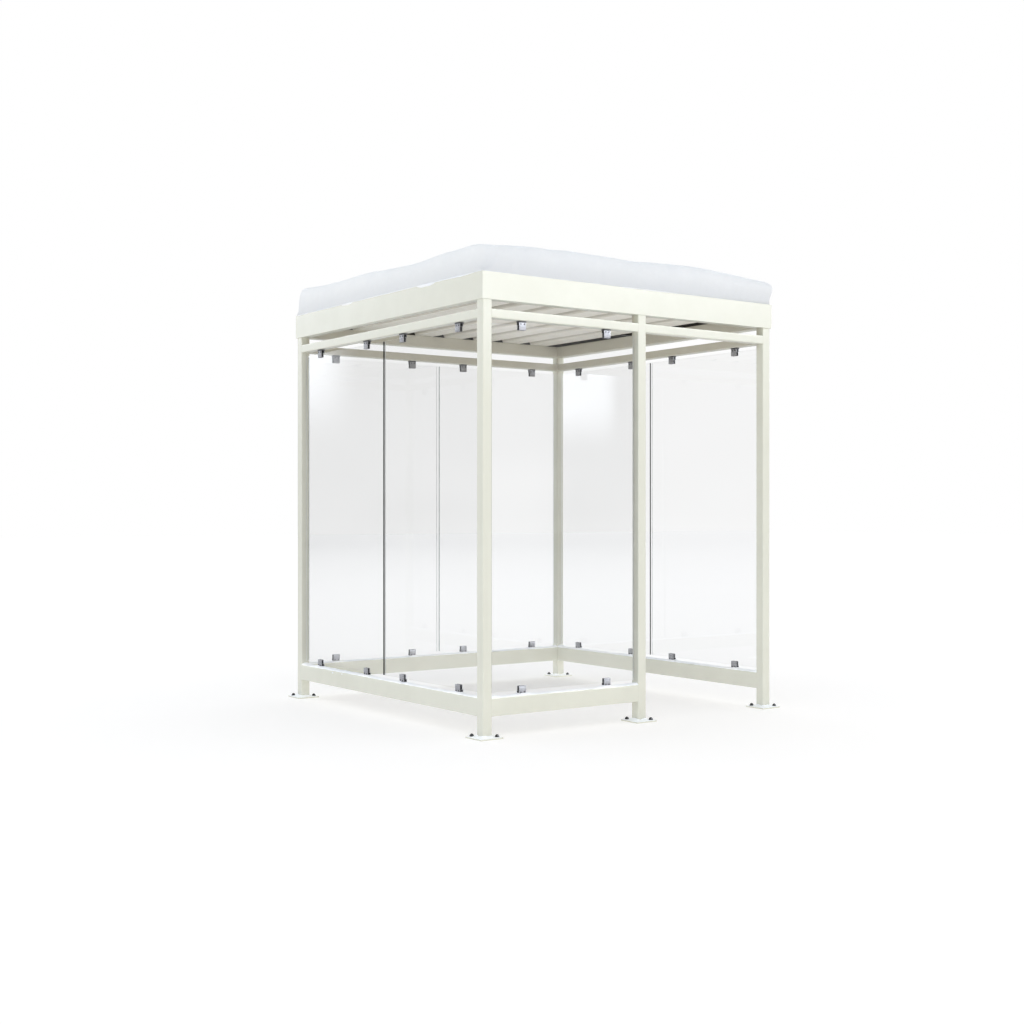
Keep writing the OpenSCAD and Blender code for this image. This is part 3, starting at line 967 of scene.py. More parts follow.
@dataclass
class Clamps:
    """Zinc plated clamps on feet darkened with painted shade, two blackened screws in each jaw, and rubber
    linings.
    """

    width: float = 48 * MM
    foot_depth: float = 30 * MM
    foot_thick: float = 8 * MM
    height: float = 52 * MM
    jaw_thick: float = 4 * MM
    slot: float = 16 * MM
    edge: float = 0.7 * MM
    screw_rise: float = 17 * MM
    screw_spacing: float = 24 * MM
    screw_radius: float = 4.2 * MM
    screw_head: float = 2.4 * MM
    socket_radius: float = 2.1 * MM

    def screw(self) -> Surface:
        """A button headed screw with a socket, its seat on z = 0.

        Formula: the head's rim follows a quarter ellipse, and the socket is a
        round recess in its top.
        """
        r, socket = self.screw_radius, self.socket_radius
        rise = np.linspace(0.0, 1.15, 6)
        foot = np.array([[r * 0.9, -0.6 * MM], [r, -0.2 * MM]])
        rim = np.stack([r * np.cos(rise), self.screw_head * np.sin(rise)], axis=1)
        recess = np.array([[socket + 0.2 * MM, 2.3 * MM], [socket, 2.1 * MM], [socket, 0.9 * MM],
                           [0.3 * MM, 0.7 * MM]])
        return turned_part(np.concatenate([foot, rim, recess]), 18)

    def foot(self) -> Surface:
        """Foot of a clamp, standing on z = 0 with the glass along X."""
        block = rounded_block((self.width, self.foot_depth, self.foot_thick), self.edge)
        return block.moved(np.array([0, 0, self.foot_thick / 2]))

    def jaws(self) -> Surface:
        """Both jaws, standing on z = 0 with the glass along X."""
        reach = self.slot / 2 + self.jaw_thick / 2
        block = rounded_block((self.width, self.jaw_thick, self.height), self.edge)
        return joined([block.moved(np.array([0, hand * reach, self.height / 2])) for hand in (-1, 1)])

    def screws(self) -> Surface:
        """Two screws in the outer face of each jaw."""
        face = self.slot / 2 + self.jaw_thick
        x, y, z = AXES
        placed = []
        for hand in (-1, 1):
            head = self.screw().turned(hand * -x, z, hand * y)
            for across in (-self.screw_spacing / 2, self.screw_spacing / 2):
                placed.append(head.moved(np.array([across, hand * face, self.screw_rise])))
        return joined(placed)

    def places(self, side: Side) -> list[tuple[np.ndarray, float]]:
        """Where the clamps of a wall stand.

        Args:
            side: the wall.

        Returns:
            The middle of each clamp's foot and whether it stands (1) or hangs (-1).
        """
        name = f"clamps_{side.name.lower()}"
        low, high = node_box(name)
        points = np.array([v.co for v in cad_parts[name].data.vertices])
        run = points @ np.abs(side.along)
        cuts = np.unique(np.round(run, 4))
        apart = np.diff(cuts) > 1.5 * self.width
        starts, ends = cuts[np.append(True, apart)], cuts[np.append(apart, True)]
        found = []
        for middle in (starts + ends) / 2:
            centre = (low + high) / 2
            centre[int(np.argmax(np.abs(side.along)))] = middle
            for height, hand in ((low[2], 1.0), (high[2], -1.0)):
                found.append((np.array([centre[0], centre[1], height]), hand))
        return found

    def build(self) -> None:
        """Makes jaws, feet and screws wall by wall, and dresses the linings."""
        for side in Side:
            wall = side.name.lower()
            # The feet take the darker zinc, painted shade next to the rail.
            for part, surface, finish in (("jaws", self.jaws(), ZINC), ("feet", self.foot(), FOOT_ZINC_PAINTED_SHADE),
                                          ("screws", self.screws(), BLACK_SCREW)):
                placed = joined([
                    surface.turned(side.along * hand, side.outward, np.array([0, 0, hand])).moved(place)
                    for place, hand in self.places(side)])
                piece = add_piece(f"clamp_{part}_{wall}", placed, [finish.material()], 25.0)
                if part == "jaws":
                    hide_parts(f"clamps_{wall}")
        dress(["clamp_linings"], RUBBER)


@dataclass
class AnchorCaps:
    """Black domed caps over the nuts of the ground anchors."""

    radius: float = 14 * MM
    rim: float = 2.6 * MM
    height: float = 18 * MM
    inset: float = 25 * MM
    shoulder: float = 1.6 * MM
    rounding: float = 0.5 * MM

    def cap(self) -> Surface:
        """A flanged dome standing on z = 0.

        Formula: a short upright rim, a small step, and then a quarter ellipse
        up to a flat crown.
        """
        dome = self.radius - self.shoulder
        rise = np.linspace(0.0, 1.45, 9)
        inner, outer = self.radius - self.rounding, self.radius
        flange = np.array([[inner, 0.0], [outer, self.rounding],
                           [outer, self.rim - self.rounding], [inner, self.rim]])
        curve = np.stack([dome * np.cos(rise), self.rim + (self.height - self.rim) * np.sin(rise)], axis=1)
        return turned_part(np.concatenate([flange, curve]), 28)

    def build(self) -> None:
        """Puts two caps on the diagonal of every base plate."""
        caps = []
        for name in nodes_named("base_plate"):
            low, high = node_box(name)
            left, front, right, rear = *(low[:2] + self.inset), *(high[:2] - self.inset)
            for x, y in ((left, rear), (right, front)):
                caps.append(self.cap().moved(np.array([x, y, high[2]])))
        add_piece("anchor_caps", joined(caps), [CAP.material()])


@dataclass(frozen=True)
class Wave:
    """A train of straight waves in the snow, its heading and start in degrees."""

    height: float
    length: float
    heading: float
    start: float

    def at(self, x: np.ndarray, y: np.ndarray) -> np.ndarray:
        """Height of the waves at each point."""
        turn = math.radians(self.heading)
        run = x * math.cos(turn) + y * math.sin(turn)
        return self.height * np.sin(2 * math.pi * run / self.length + math.radians(self.start))


@dataclass
class RoofSnow:
    """The deep snow on the roof, flush with the fascia and rounded at its shoulders."""

    depth: float = 174 * MM
    roundings: FourSides = (40 * MM, 70 * MM, 36 * MM, 66 * MM)
    bulges: FourSides = (0.0, 9 * MM, 9 * MM, 9 * MM)
    foot_corner: float = 11 * MM
    crown_corners: FourSides = (60 * MM, 95 * MM, 130 * MM, 45 * MM)
    corner_growth: float = 0.35
    power: float = 2.8
    swell: float = 24 * MM
    swell_length: float = 4.7
    swell_start: float = 10.0
    waves: tuple[Wave, ...] = (Wave(9 * MM, 0.96, 20, 50), Wave(6 * MM, 0.82, -60, 35))
    right_slope: float = 18 * MM
    slope_reach: float = 0.36
    lump: float = 9 * MM
    lump_at: Pair = (-0.83, -1.03)
    lump_reach: float = 0.14
    skin_relief: float = 1.4 * MM
    skin_relief_length: float = 0.30
    side_relief: float = 3.0 * MM
    side_relief_length: float = 0.42
    side_height: float = 0.12
    overhang: float = 27 * MM
    overhang_rise: float = 2.2
    set_back: float = 8 * MM
    headroom: float = 0.2 * MM
    collar_gap: float = 0.3 * MM
    top_closing: float = 0.996
    top_spacing: float = 1.4
    side_steps: int = 170
    corner_steps: int = 16
    arc_steps: int = 22
    top_steps: int = 62

    def thickness(self, x: np.ndarray, y: np.ndarray, half: float) -> np.ndarray:
        """Depth of the snow above the fascia away from its edges.

        Formula: a broad swell that is highest on the right, two trains of
        waves that cross, a bell shaped lump near the front left corner, a slope
        down to the right end, and a fine relief.
        """
        k = 2 * math.pi / self.swell_length
        broad = self.swell * np.sin(k * x + math.radians(self.swell_start)) * np.cos(k * y)
        near_end = np.clip((x - half + self.slope_reach) / self.slope_reach, 0, 1)
        away = ((x - self.lump_at[0]) ** 2 + (y - self.lump_at[1]) ** 2) / self.lump_reach ** 2
        deep = self.depth + broad + self.lump * np.exp(-away)
        for wave in self.waves:
            deep = deep + wave.at(x, y)
        skin = uneven(x, y, self.skin_relief, self.skin_relief_length, TOP_SEED)
        return deep - self.right_slope * near_end ** 2 + skin

    def outline(self) -> tuple[np.ndarray, np.ndarray, np.ndarray]:
        """Walks once round a square, anticlockwise from its right side.

        Formula: along a side the outward normal stays and the core runs from
        one corner to the next; at a corner the core stays and the normal turns.

        Returns:
            Outward normals, the core's corners and sides for a square of half
            width one, and how far along the four corners each point lies.
        """
        step = np.arange(4)
        quarter = np.repeat(step * math.pi / 2, self.side_steps + self.corner_steps)
        run = np.linspace(-1, 1, self.side_steps, endpoint=False)
        run = np.concatenate([run, np.ones(self.corner_steps)])
        bend = np.linspace(0, math.pi / 2, self.corner_steps, endpoint=False)
        bend = np.concatenate([np.zeros(self.side_steps), bend])
        slide, turn = np.tile(run, 4), quarter + np.tile(bend, 4)
        cos, sin = np.cos(quarter), np.sin(quarter)
        core = np.stack([cos - slide * sin, sin + slide * cos])
        return np.stack([np.cos(turn), np.sin(turn)]), core, np.repeat(step, len(run)) + (slide - 1) / 2

    @staticmethod
    def by_side(values: FourSides, normal: np.ndarray) -> np.ndarray:
        """Value of each point from those of the right, rear, left and front side.

        Formula: the sides that a point faces, weighted by its normal's squares.
        """
        right, rear, left, front = values
        x, y = normal
        return np.where(x > 0, right, left) * x ** 2 + np.where(y > 0, rear, front) * y ** 2

    def surface(self) -> Surface:
        """Closed mass of snow: the domed top, its sides, and a flat base inside the fascia.

        Formula: rings with rounded corners rise from the fascia along a quarter
        of a superellipse, and the corners widen as they rise. The top is the
        last ring, shrunk towards the middle. The height is the thickness times
        the ring's edge factor. Towards the front right the sides lean out below
        their shoulder and draw in at the foot.
        """
        low, high = node_box("fascia_front")
        base, top = node_box("roof_snow")[0][2], node_box("roof_snow")[1][2]
        half = float(high[0])
        normal, core, at = self.outline()
        corners = (self.crown_corners[3], *self.crown_corners)
        crown = np.interp(at, np.arange(-1, 4), corners)
        angle = np.linspace(0, math.pi / 2, self.arc_steps)[:, None]
        edge = np.sin(angle) ** (2 / self.power)
        arc = 1 - np.maximum(np.cos(angle), 0) ** (2 / self.power)
        radius = self.foot_corner + (crown - self.foot_corner) * edge ** self.corner_growth
        lean = np.clip((core[0] - core[1]) / 2, 0, 1) ** 2
        shoulder = self.overhang * np.sin(math.pi * edge ** self.overhang_rise)
        out = self.by_side(self.bulges, normal) * np.sin(2 * angle)
        out = out - self.by_side(self.roundings, normal) * arc
        out = out + lean * (shoulder - self.set_back * (1 - edge) ** 3)
        relief = uneven((core[0] + core[1]) * half, edge * self.side_height, self.side_relief,
                        self.side_relief_length, SIDE_SEED)
        out += relief * (1 - edge) * np.minimum(1, 6 * edge)
        sides = (half - radius)[:, None] * core + (radius + out)[:, None] * normal
        inward = np.linspace(0, 1, self.top_steps + 1)[1:, None, None]
        shrink = 1 - self.top_closing * inward ** self.top_spacing
        x, y = np.concatenate([sides, sides[-1] * shrink]).transpose(1, 0, 2)
        edge = np.concatenate([edge, np.ones((self.top_steps, 1))])
        z = np.minimum(high[2] + self.thickness(x, y, half) * edge, top - self.headroom)
        wall = (high - low)[1] + self.collar_gap
        corner = self.foot_corner - wall
        collar_x, collar_y = ((half - wall - corner) * core + corner * normal)[:, None]
        flat = np.ones_like(z[:1])
        rows = np.stack([np.concatenate([collar_x, collar_x, x]), np.concatenate([collar_y, collar_y, y]),
                         np.concatenate([base * flat, high[2] * flat, z])], axis=-1)
        size = rows.shape[:2]
        return Surface(rows.reshape(-1, 3), grid_quads(*size, ring=True), end_caps(*size))

    def build(self) -> None:
        """Makes the snow in the place of its frame node."""
        piece = add_piece("snow_on_roof", self.surface(), [SNOW.material()], 60.0)
        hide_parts("roof_snow")


@dataclass(frozen=True)
class Lip:
    """One stretch of snow that hangs over the fascia's top edge."""

    side: Side
    start: float
    end: float
    drop: float


@dataclass
class SnowLips:
    """Small lips of fresh snow over the fascia, and crumbs on the left rail."""

    lips: tuple[Lip, ...] = (
        Lip(Side.LEFT, 0.08, 0.52, 5 * MM), Lip(Side.LEFT, 0.48, 0.68, 13 * MM),
        Lip(Side.LEFT, 0.64, 1.48, 2.4 * MM), Lip(Side.LEFT, 1.44, 1.59, 9 * MM),
        Lip(Side.LEFT, 1.56, 2.06, 2.4 * MM), Lip(Side.LEFT, 2.02, 2.19, 3.5 * MM),
        Lip(Side.FRONT, 0.95, 1.45, 3.5 * MM),
        Lip(Side.RIGHT, 0.60, 0.86, 6 * MM), Lip(Side.REAR, 1.10, 1.42, 7 * MM))
    crumbs: tuple[tuple[float, float], ...] = ((1.715, 15 * MM), (1.593, 12 * MM))
    rise: float = 3 * MM
    bulge: float = 5 * MM
    step: float = 6 * MM
    ring_points: int = 16
    taper: float = 0.7
    waver: float = 0.2
    waver_length: float = 0.35
    crumb_shape: Triple = (0.28, 0.5, 0.27)
    crumb_waver: float = 0.16
    crumb_waver_length: float = 1.6
    crumb_rise: float = 0.9

    def lip(self, lip: Lip, seed: int) -> Surface:
        """A lip as a flattened tube along the fascia's top edge.

        Formula: an ellipse stands on the edge, as high as the rise and the
        drop together, and shrinks to nothing at both ends. Its drop wavers.

        Args:
            lip: where the lip hangs and how far.
            seed: number that fixes its waver.

        Returns:
            The closed surface.
        """
        low, high = node_box(f"fascia_{lip.side.name.lower()}")
        face = abs(float((high if sum(lip.side.value) > 0 else low) @ lip.side.outward))
        count = round((lip.end - lip.start) / self.step)
        t = np.linspace(-1, 1, count)
        swell = np.maximum(1 - np.abs(t) ** 3, 0.02) ** self.taper
        at = lip.start + (t + 1) / 2 * (lip.end - lip.start)
        waver = uneven(at, 0 * at, 1.0, self.waver_length, seed)
        drop = lip.drop * swell * (1 + self.waver * waver)
        turn = np.arange(self.ring_points) * 2 * math.pi / self.ring_points
        tall = (self.rise * swell + drop) / 2
        middle = high[2] + (self.rise * swell - drop) / 2
        out = self.bulge * np.outer(swell, np.cos(turn))
        up = middle[:, None] + tall[:, None] * np.sin(turn)
        # Walls on the left are measured from their front end, the others from their left end.
        from_front = lip.side in (Side.LEFT, Side.RIGHT)
        run = (np.abs(lip.side.along) if from_front else lip.side.along) * (at - face)[:, None]
        points = run[:, None, :] + (face + out)[..., None] * lip.side.outward + up[..., None] * AXES[2]
        size = count, self.ring_points
        surface = Surface(points.reshape(-1, 3), grid_quads(*size, ring=True), end_caps(*size))
        faces_out = float(np.cross(run[-1] - run[0], lip.side.outward)[2]) < 0
        return surface if faces_out else surface.flipped()

    def crumb(self, distance: float, size: float, seed: int) -> Surface:
        """A crumb stuck to the left rail's outer face, close under its top edge.

        Formula: a flattened ball whose radius wavers.

        Args:
            distance: distance from the fascia's front.
            size: length of the crumb.
            seed: number that fixes its waver.

        Returns:
            The closed surface.
        """
        low, high = node_box("bottom_rail_left")
        front = node_box("fascia_left")[0][1]
        rise = np.linspace(-1.4, 1.4, 11)
        profile = np.stack([np.cos(rise), np.sin(rise)], axis=1)
        ball = turned_part(profile, 18)
        x, y, z = ball.points.T
        waver = 1 + self.crumb_waver * uneven(x + 2 * z, y, 1.0, self.crumb_waver_length, seed)
        points = ball.points * waver[:, None] * np.array(self.crumb_shape) * size
        place = np.array([low[0], front + distance, high[2] - self.crumb_rise * size])
        return Surface(points, ball.quads, ball.caps).moved(place)

    def build(self) -> None:
        """Makes the lips and the crumbs."""
        lips = [self.lip(lip, LIP_SEED + k) for k, lip in enumerate(self.lips)]
        crumbs = [self.crumb(*crumb, CRUMB_SEED + k) for k, crumb in enumerate(self.crumbs)]
        add_piece("snow_lips", joined(lips), [FRESH_SNOW.material()], 70.0)
        add_piece("snow_crumbs", joined(crumbs), [FRESH_SNOW.material()], 70.0)


@dataclass
class RailSnow:
    """Snow on the bottom rails, drifted up here and there against clamps and posts."""

    thin: float = 8 * MM
    drift: float = 16 * MM
    least_drift: float = 11 * MM
    reach: float = 48 * MM
    margin: float = 1.0 * MM
    gap: float = 0.3 * MM
    step: float = 6 * MM
    across_steps: int = 14
    roundness: float = 2.2
    relief: float = 0.16
    relief_length: float = 0.16
    edge_wander: float = 0.8 * MM

    def strip(self, start: float, end: float, width: float, span: Pair,
              stops: list[float], seed: int) -> Surface:
        """Snow on a stretch of a rail, lying on z = 0 along X from start to end.

        Formula: a bell shaped drift of its own height stands at each stop, and
        across the rail the height follows a superellipse, so that both sides
        are round. A side of the strip that isn't the rail's own is upright.

        Args:
            start: one end along the rail.
            end: the other end.
            width: width of the snow on the whole rail.
            span: first and last side of the strip, as shares of half the width.
            stops: where clamps and posts stand along the rail.
            seed: number that fixes the drifts and the relief of the rail.

        Returns:
            The closed strip.
        """
        count = max(8, round((end - start) / self.step))
        x = np.linspace(start, end, count)
        heights = np.random.default_rng(seed).uniform(self.least_drift, self.drift, len(stops)) - self.thin
        bells = np.exp(-((x[:, None] - np.array(stops)) / self.reach) ** 2)
        crest = self.thin + bells @ heights
        turn = np.arcsin(span)
        t = np.sin(np.linspace(*turn, self.across_steps + 1))
        shape = (1 - np.abs(t) ** self.roundness).clip(0) ** 0.5
        walls = (shape[:1] > 0.1).sum(), (shape[-1:] > 0.1).sum()
        t, shape = np.pad(t, walls, mode="edge"), np.pad(shape, walls)
        grid_x, grid_t = np.meshgrid(x, t, indexing="ij")
        relief = 1 + uneven(grid_x, grid_t * 0.03, self.relief, self.relief_length, seed)
        wander = uneven(grid_x, 0 * grid_x, self.edge_wander, self.relief_length, seed + 50)
        z = crest[:, None] * shape * np.maximum(relief, 0.35)
        y = grid_t * width / 2 + wander * (np.abs(grid_t) > 0.9)
        columns = len(t)
        left = np.arange(columns)
        right = left + (count - 1) * columns
        near_side = np.arange(count) * columns
        base = np.concatenate([near_side, near_side[::-1] + columns - 1])
        return Surface(np.stack([grid_x, y, z], axis=-1).reshape(-1, 3), grid_quads(count, columns),
                       [left, right[::-1], base[::-1]])

    def obstacles(self, side: Side) -> list[float]:
        """Where the clamps stand along a wall."""
        along = int(np.argmax(np.abs(side.along)))
        return sorted(p[along] for p, hand in Clamps().places(side) if hand > 0)

    def on_wall(self, side: Side, seed: int) -> list[Surface]:
        """All strips on one rail.

        Args:
            side: the wall.
            seed: number that fixes the relief.

        Returns:
            The strips in place.
        """
        low, high = node_box(f"bottom_rail_{side.name.lower()}")
        run = int(np.argmax(np.abs(side.along)))
        width = (high - low)[1 - run] - 2 * self.margin
        clamp = Clamps()
        half, beside = clamp.width / 2 + self.gap, (clamp.foot_depth + 2 * self.gap) / width
        middles = self.obstacles(side)
        starts = [low[run] + self.gap] + [m + half for m in middles]
        ends = [m - half for m in middles] + [high[run] - self.gap]
        stretches = [(a, b, (-1.0, 1.0)) for a, b in zip(starts, ends)]
        stretches += [(m - half, m + half, span)
                      for m in middles for span in ((-1.0, -beside), (beside, 1.0))]
        stops = [low[run], *middles, high[run]]
        axes = (AXES[run], AXES[1 - run] * (1 if run == 0 else -1), AXES[2])
        place = (low + high) / 2
        place[run], place[2] = 0.0, high[2]
        return [self.strip(start, end, width, span, stops, seed).turned(*axes).moved(place)
                for start, end, span in stretches]

    def build(self) -> None:
        """Makes the snow on all four rails in the place of its frame node."""
        strips = [s for k, side in enumerate(Side) for s in self.on_wall(side, RAIL_SEED + 10 * k)]
        piece = add_piece("snow_on_rails", joined(strips), [RAIL_SNOW_PAINTED_GLOW.material()], 70.0)
        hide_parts("rail_snow")


@dataclass
class PlateSnow:
    """A dusting on each base plate, banked up against the post's foot."""

    thin: float = 2.4 * MM
    bank: float = 10 * MM
    inset: float = 0.6 * MM
    around: int = 120
    out_steps: int = 16
    post_corner: float = 5 * MM
    rim_corner: float = 6 * MM
    bank_reach: float = 0.22
    bank_fall: float = 1.6
    relief: float = 0.25
    relief_length: float = 0.07
    rim_wander: float = 0.02

    def patch(self, low: np.ndarray, high: np.ndarray, post_width: float, seed: int) -> Surface:
        """The snow round one post.

        Formula: between the post's outline and the plate's, the height falls
        from the bank to the thin layer and rounds off to nothing at the rim.

        Args:
            low: lowest corner of the plate.
            high: highest corner of the plate.
            post_width: width of the post.
            seed: number that fixes the relief.

        Returns:
            The closed ring of snow.
        """
        inner, _ = rounded_outline(post_width, post_width, self.post_corner, self.around)
        size = (high - low)[:2] - 2 * self.inset
        outer, _ = rounded_outline(size[0], size[1], self.rim_corner, self.around)
        s = np.linspace(0, 1, self.out_steps + 1)[:, None]
        line = inner[None] * (1 - s[..., None]) + outer[None] * s[..., None]
        wander = uneven(line[..., 0], line[..., 1], 1.0, self.relief_length, seed)
        line = line * (1 - self.rim_wander * np.abs(wander) * s)[..., None]
        bank = self.thin + (self.bank - self.thin) * np.exp(-(s / self.bank_reach) ** self.bank_fall)
        height = bank * (1 + self.relief * wander) * np.minimum(1, (1 - s) * 6) ** 0.5
        top = np.concatenate([line, height[..., None]], axis=-1)
        under = np.concatenate([line[:1], np.zeros((1, self.around, 1))], axis=-1)
        rows = np.concatenate([under, top])
        quads = grid_quads(len(rows), self.around, ring=True, closed_rows=True)[:, ::-1]
        centre = (low + high) / 2
        return Surface(rows.reshape(-1, 3), quads).moved(np.array([centre[0], centre[1], high[2]]))

    def build(self) -> None:
        """Makes the dusting on every plate."""
        patches = []
        for number, (plate, post) in enumerate(zip(nodes_named("base_plate"), nodes_named("post"))):
            low, high = node_box(plate)
            post_low, post_high = node_box(post)
            patches.append(self.patch(low, high, (post_high - post_low)[0], PLATE_SEED + number))
        add_piece("snow_on_plates", joined(patches), [PLATE_SNOW_PAINTED_GLOW.material()], 70.0)


# ---------------------------------------------------------------- studio


@dataclass(frozen=True)
class MirroredLight:
    """A light that only polished and coated faces mirror.

    It lies round a bearing, given in degrees from the rear towards the right. It
    is full within its inner half width, gone beyond its outer one, and comes in
    between two heights.
    """

    bearing: float
    inner: float
    outer: float
    light: float
    edge: Pair = (-2.0, -1.5)

    def mask(self, nodes: Nodes, direction: Socket) -> Socket:
        """Soft mask of the directions that lie near the bearing."""
        turn = math.radians(self.bearing)
        level = nodes.vector("MULTIPLY", direction, (1.0, 1.0, 0.0)).outputs[0]
        level = nodes.vector("NORMALIZE", level).outputs[0]
        along = nodes.vector("DOT_PRODUCT", level, (math.sin(turn), math.cos(turn), 0.0)).outputs["Value"]
        ends = (math.cos(math.radians(width)) for width in (self.outer, self.inner))
        return nodes.spread(along, *ends, smooth=True)

    def strength(self, nodes: Nodes, direction: Socket) -> Socket:
        """Brightness of the light in every direction."""
        height = nodes.parts(direction)["Z"]
        rising = nodes.spread(height, *self.edge, 0.0, self.light, smooth=True)
        return nodes.math("MULTIPLY", rising, self.mask(nodes, direction))


@dataclass
class Studio:
    """Pale floor, soft light from all round, and the camera."""

    floor_half: float = 60.0
    camera_distance: float = 9.2669
    camera_bearing: float = 36.127
    look_bearing: float = 35.52
    camera_height: float = 1.2378
    lens: float = 50.0
    cool_low: Colour = colour(0.44, 0.37, 0.26)
    warm_low: Colour = colour(0.74, 0.62, 0.40)
    cool_side: Colour = colour(1.00, 1.09, 1.26)
    warm_side: Colour = colour(1.44, 1.48, 1.54)
    cool_zenith: Colour = colour(0.80, 0.84, 0.86)
    warm_zenith: Colour = colour(0.66, 0.66, 0.66)
    warm_way: Pair = (0.6, -0.8)
    low_edge: Pair = (0.08, 0.22)
    zenith_edge: Pair = (0.25, 0.90)
    pane_gain: float = 0.22
    dim_grey: Pair = (0.18, 0.42)
    block_scale: Triple = (7.0, 7.0, 14.0)
    haze: float = 0.12
    haze_reach: float = 0.015
    overhead_edge: Pair = (0.26, 0.38)
    overhead: float = 0.9
    aside: MirroredLight = MirroredLight(146.0, 2.0, 4.5, 0.25)
    bank: MirroredLight = MirroredLight(140.0, 25.0, 50.0, 9.5, (0.12, 0.17))
    patch: MirroredLight = MirroredLight(-15.0, 12.5, 14.5, 1.5, (0.042, 0.11))
    glow: MirroredLight = MirroredLight(-15.0, 9.0, 17.0, 4.5, (0.115, 0.150))
    strip: MirroredLight = MirroredLight(-38.4, 0.6, 1.5, 1.95, (0.040, 0.080))
    cool_share: Pair = (0.87, 0.92)

    def floor(self) -> None:
        """A large level floor under the shelter."""
        count = 13
        line = np.linspace(-self.floor_half, self.floor_half, count)
        x, y = np.meshgrid(line, line, indexing="ij")
        points = np.stack([x, y, np.zeros_like(x)], axis=-1).reshape(-1, 3)
        mesh = bpy.data.meshes.new("floor")
        mesh.from_pydata(points.tolist(), [], grid_quads(count, count)[:, ::-1].tolist())
        mesh.materials.append(FLOOR.material())
        piece = bpy.data.objects.new("floor", mesh)
        bpy.context.scene.collection.objects.link(piece)

    def surroundings(self, nodes: Nodes, direction: Socket) -> Socket:
        """What polished and coated faces mirror.

        Near the horizon lie dim grey walls with faint blocks of lighter and
        darker tone, and a hazier foot. A bright bank of light stands high in
        front of the open side, with a small one beside it. A cool patch with a
        brighter head lies low behind the left, and a narrow strip beside it.

        Args:
            nodes: the world's nodes.
            direction: unit vector away from the object.

        Returns:
            The mirrored colour.
        """
        height = nodes.parts(direction)["Z"]
        blocks = nodes.noise(nodes.drawn(direction, self.block_scale), 1.0, 1.0, 0.5)
        dim = nodes.spread(blocks, 0.35, 0.65, *self.dim_grey)
        dim = nodes.math("ADD", dim, nodes.spread(height, -self.haze_reach, 0.0, self.haze, 0.0))
        dim = nodes.math("MULTIPLY_ADD", self.aside.mask(nodes, direction), self.aside.light, dim)
        above = nodes.spread(height, *self.overhead_edge, smooth=True)
        base = nodes.math("MULTIPLY_ADD", above, self.overhead, dim)
        bank, patch, glow, strip = (
            light.strength(nodes, direction) for light in (self.bank, self.patch, self.glow, self.strip))
        cool = nodes.math("ADD", nodes.math("MAXIMUM", nodes.math("MAXIMUM", patch, glow), strip), bank)
        red, green = (nodes.math("MULTIPLY_ADD", cool, share, base) for share in self.cool_share)
        blue = nodes.math("ADD", cool, base)
        return nodes.add("ShaderNodeCombineColor", {0: red, 1: green, 2: blue}).outputs[0]

    def world(self) -> None:
        """Soft light from all round, warmer and stronger from the front right, weaker overhead.

        The camera, and what it sees straight through the panes, gets pure white.
        Light that reaches a matt face through a pane is raised a little, for
        what the glass keeps back.
        """
        world = bpy.data.worlds.new("studio")
        world.use_nodes = True
        world.node_tree.nodes.clear()
        nodes = Nodes(world.node_tree)
        direction = nodes.add("ShaderNodeTexCoord").outputs["Generated"]
        parts = nodes.parts(direction)
        slant = nodes.math("ADD", nodes.math("MULTIPLY", parts["X"], self.warm_way[0]),
                           nodes.math("MULTIPLY", parts["Y"], self.warm_way[1]))
        turned = nodes.spread(slant, -1.0, 1.0)
        low = nodes.mix(turned, self.cool_low, self.warm_low)
        middle = nodes.mix(turned, self.cool_side, self.warm_side)
        zenith = nodes.mix(turned, self.cool_zenith, self.warm_zenith)
        soft = nodes.mix(nodes.spread(parts["Z"], *self.low_edge, smooth=True), low, middle)
        soft = nodes.mix(nodes.spread(parts["Z"], *self.zenith_edge, smooth=True), soft, zenith)
        mirrored = self.surroundings(nodes, direction)
        path = nodes.add("ShaderNodeLightPath").outputs
        bounced = nodes.math("MINIMUM", nodes.math("ADD", path["Glossy Depth"], path["Diffuse Depth"]), 1.0)
        seen = nodes.math("MULTIPLY", path["Is Transmission Ray"], nodes.math("SUBTRACT", 1.0, bounced))
        plain = nodes.math("MAXIMUM", path["Is Camera Ray"], seen)
        through = nodes.math("MULTIPLY", path["Transmission Depth"], path["Diffuse Depth"])
        gain = nodes.math("MULTIPLY_ADD", nodes.math("MINIMUM", through, 1.0), self.pane_gain, 1.0)
        soft, mirrored, white = (
            nodes.add("ShaderNodeBackground", {"Color": tone, "Strength": strength}).outputs[0]
            for tone, strength in ((soft, gain), (mirrored, 1.0), (WHITE, 1.0)))
        direct = nodes.math("SUBTRACT", 1.0, nodes.math("MINIMUM", path["Diffuse Depth"], 1.0))
        polished = nodes.math("MULTIPLY", path["Is Glossy Ray"], direct)
        sky = nodes.add("ShaderNodeMixShader", {0: polished, 1: soft, 2: mirrored}).outputs[0]
        sky = nodes.add("ShaderNodeMixShader", {0: plain, 1: sky, 2: white}).outputs[0]
        nodes.add("ShaderNodeOutputWorld", {"Surface": sky})
        bpy.context.scene.world = world

    def camera(self) -> None:
        """A level camera off the front left corner."""
        data = bpy.data.cameras.new("camera")
        data.lens = self.lens
        data.sensor_width = 36.0
        data.clip_end = 300.0
        camera = bpy.data.objects.new("camera", data)
        bearing, away = math.radians(self.camera_bearing), -self.camera_distance
        camera.location = (away * math.sin(bearing), away * math.cos(bearing), self.camera_height)
        camera.rotation_euler = (math.pi / 2, 0.0, -math.radians(self.look_bearing))
        bpy.context.scene.collection.objects.link(camera)
        bpy.context.scene.camera = camera

    def build(self) -> None:
        """Sets up floor, light, camera and plain colour rendering."""
        self.floor()
        self.world()
        self.camera()
        bpy.context.scene.view_settings.view_transform = "Standard"


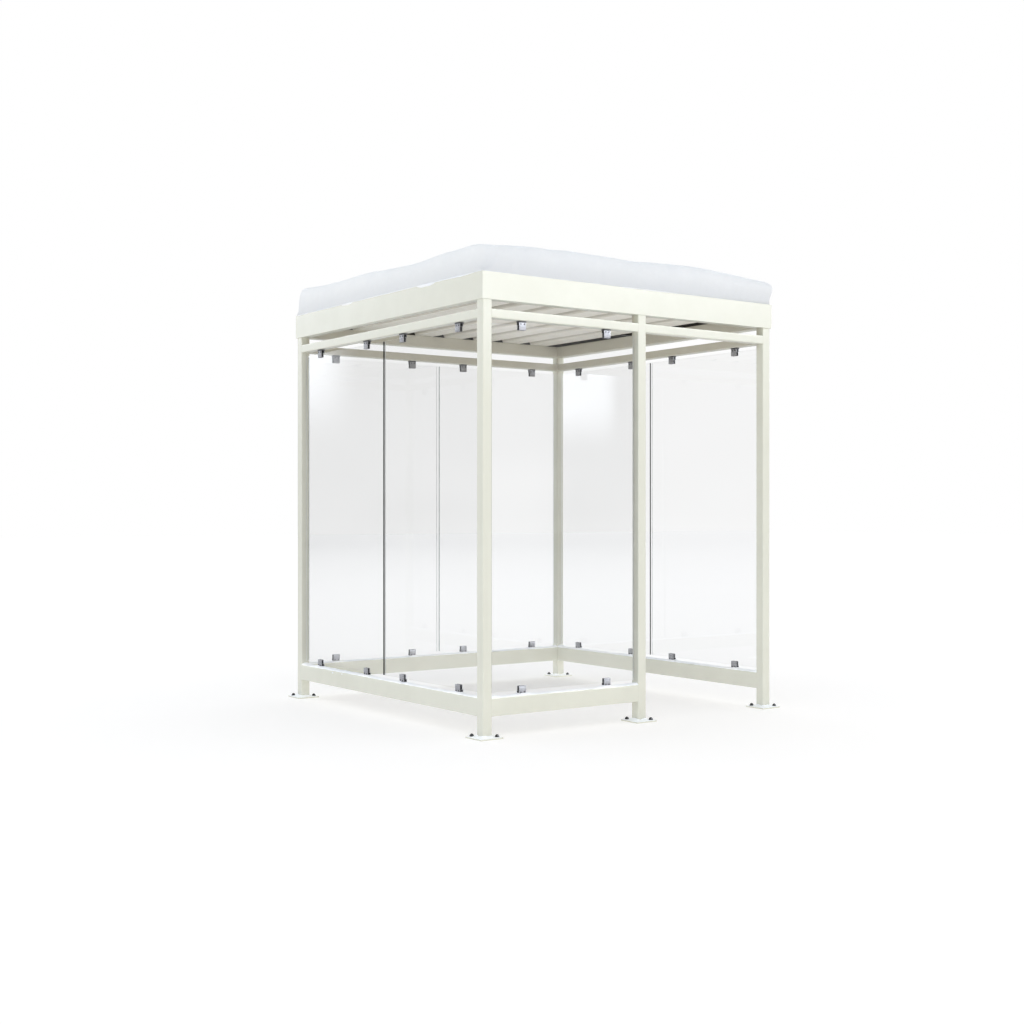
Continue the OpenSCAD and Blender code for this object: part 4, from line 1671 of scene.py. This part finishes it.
def main() -> None:
    """Builds the studio and every sub-assembly in order."""
    logging.basicConfig(level=logging.INFO, format="%(name)s: %(message)s")
    for part in (Studio(), SteelFrame(), Roof(), Glazing(), Clamps(), AnchorCaps(), RoofSnow(), SnowLips(),
                 RailSnow(), PlateSnow()):
        part.build()
        LOG.info("built %s", type(part).__name__)


if __name__ == "__main__":
    main()
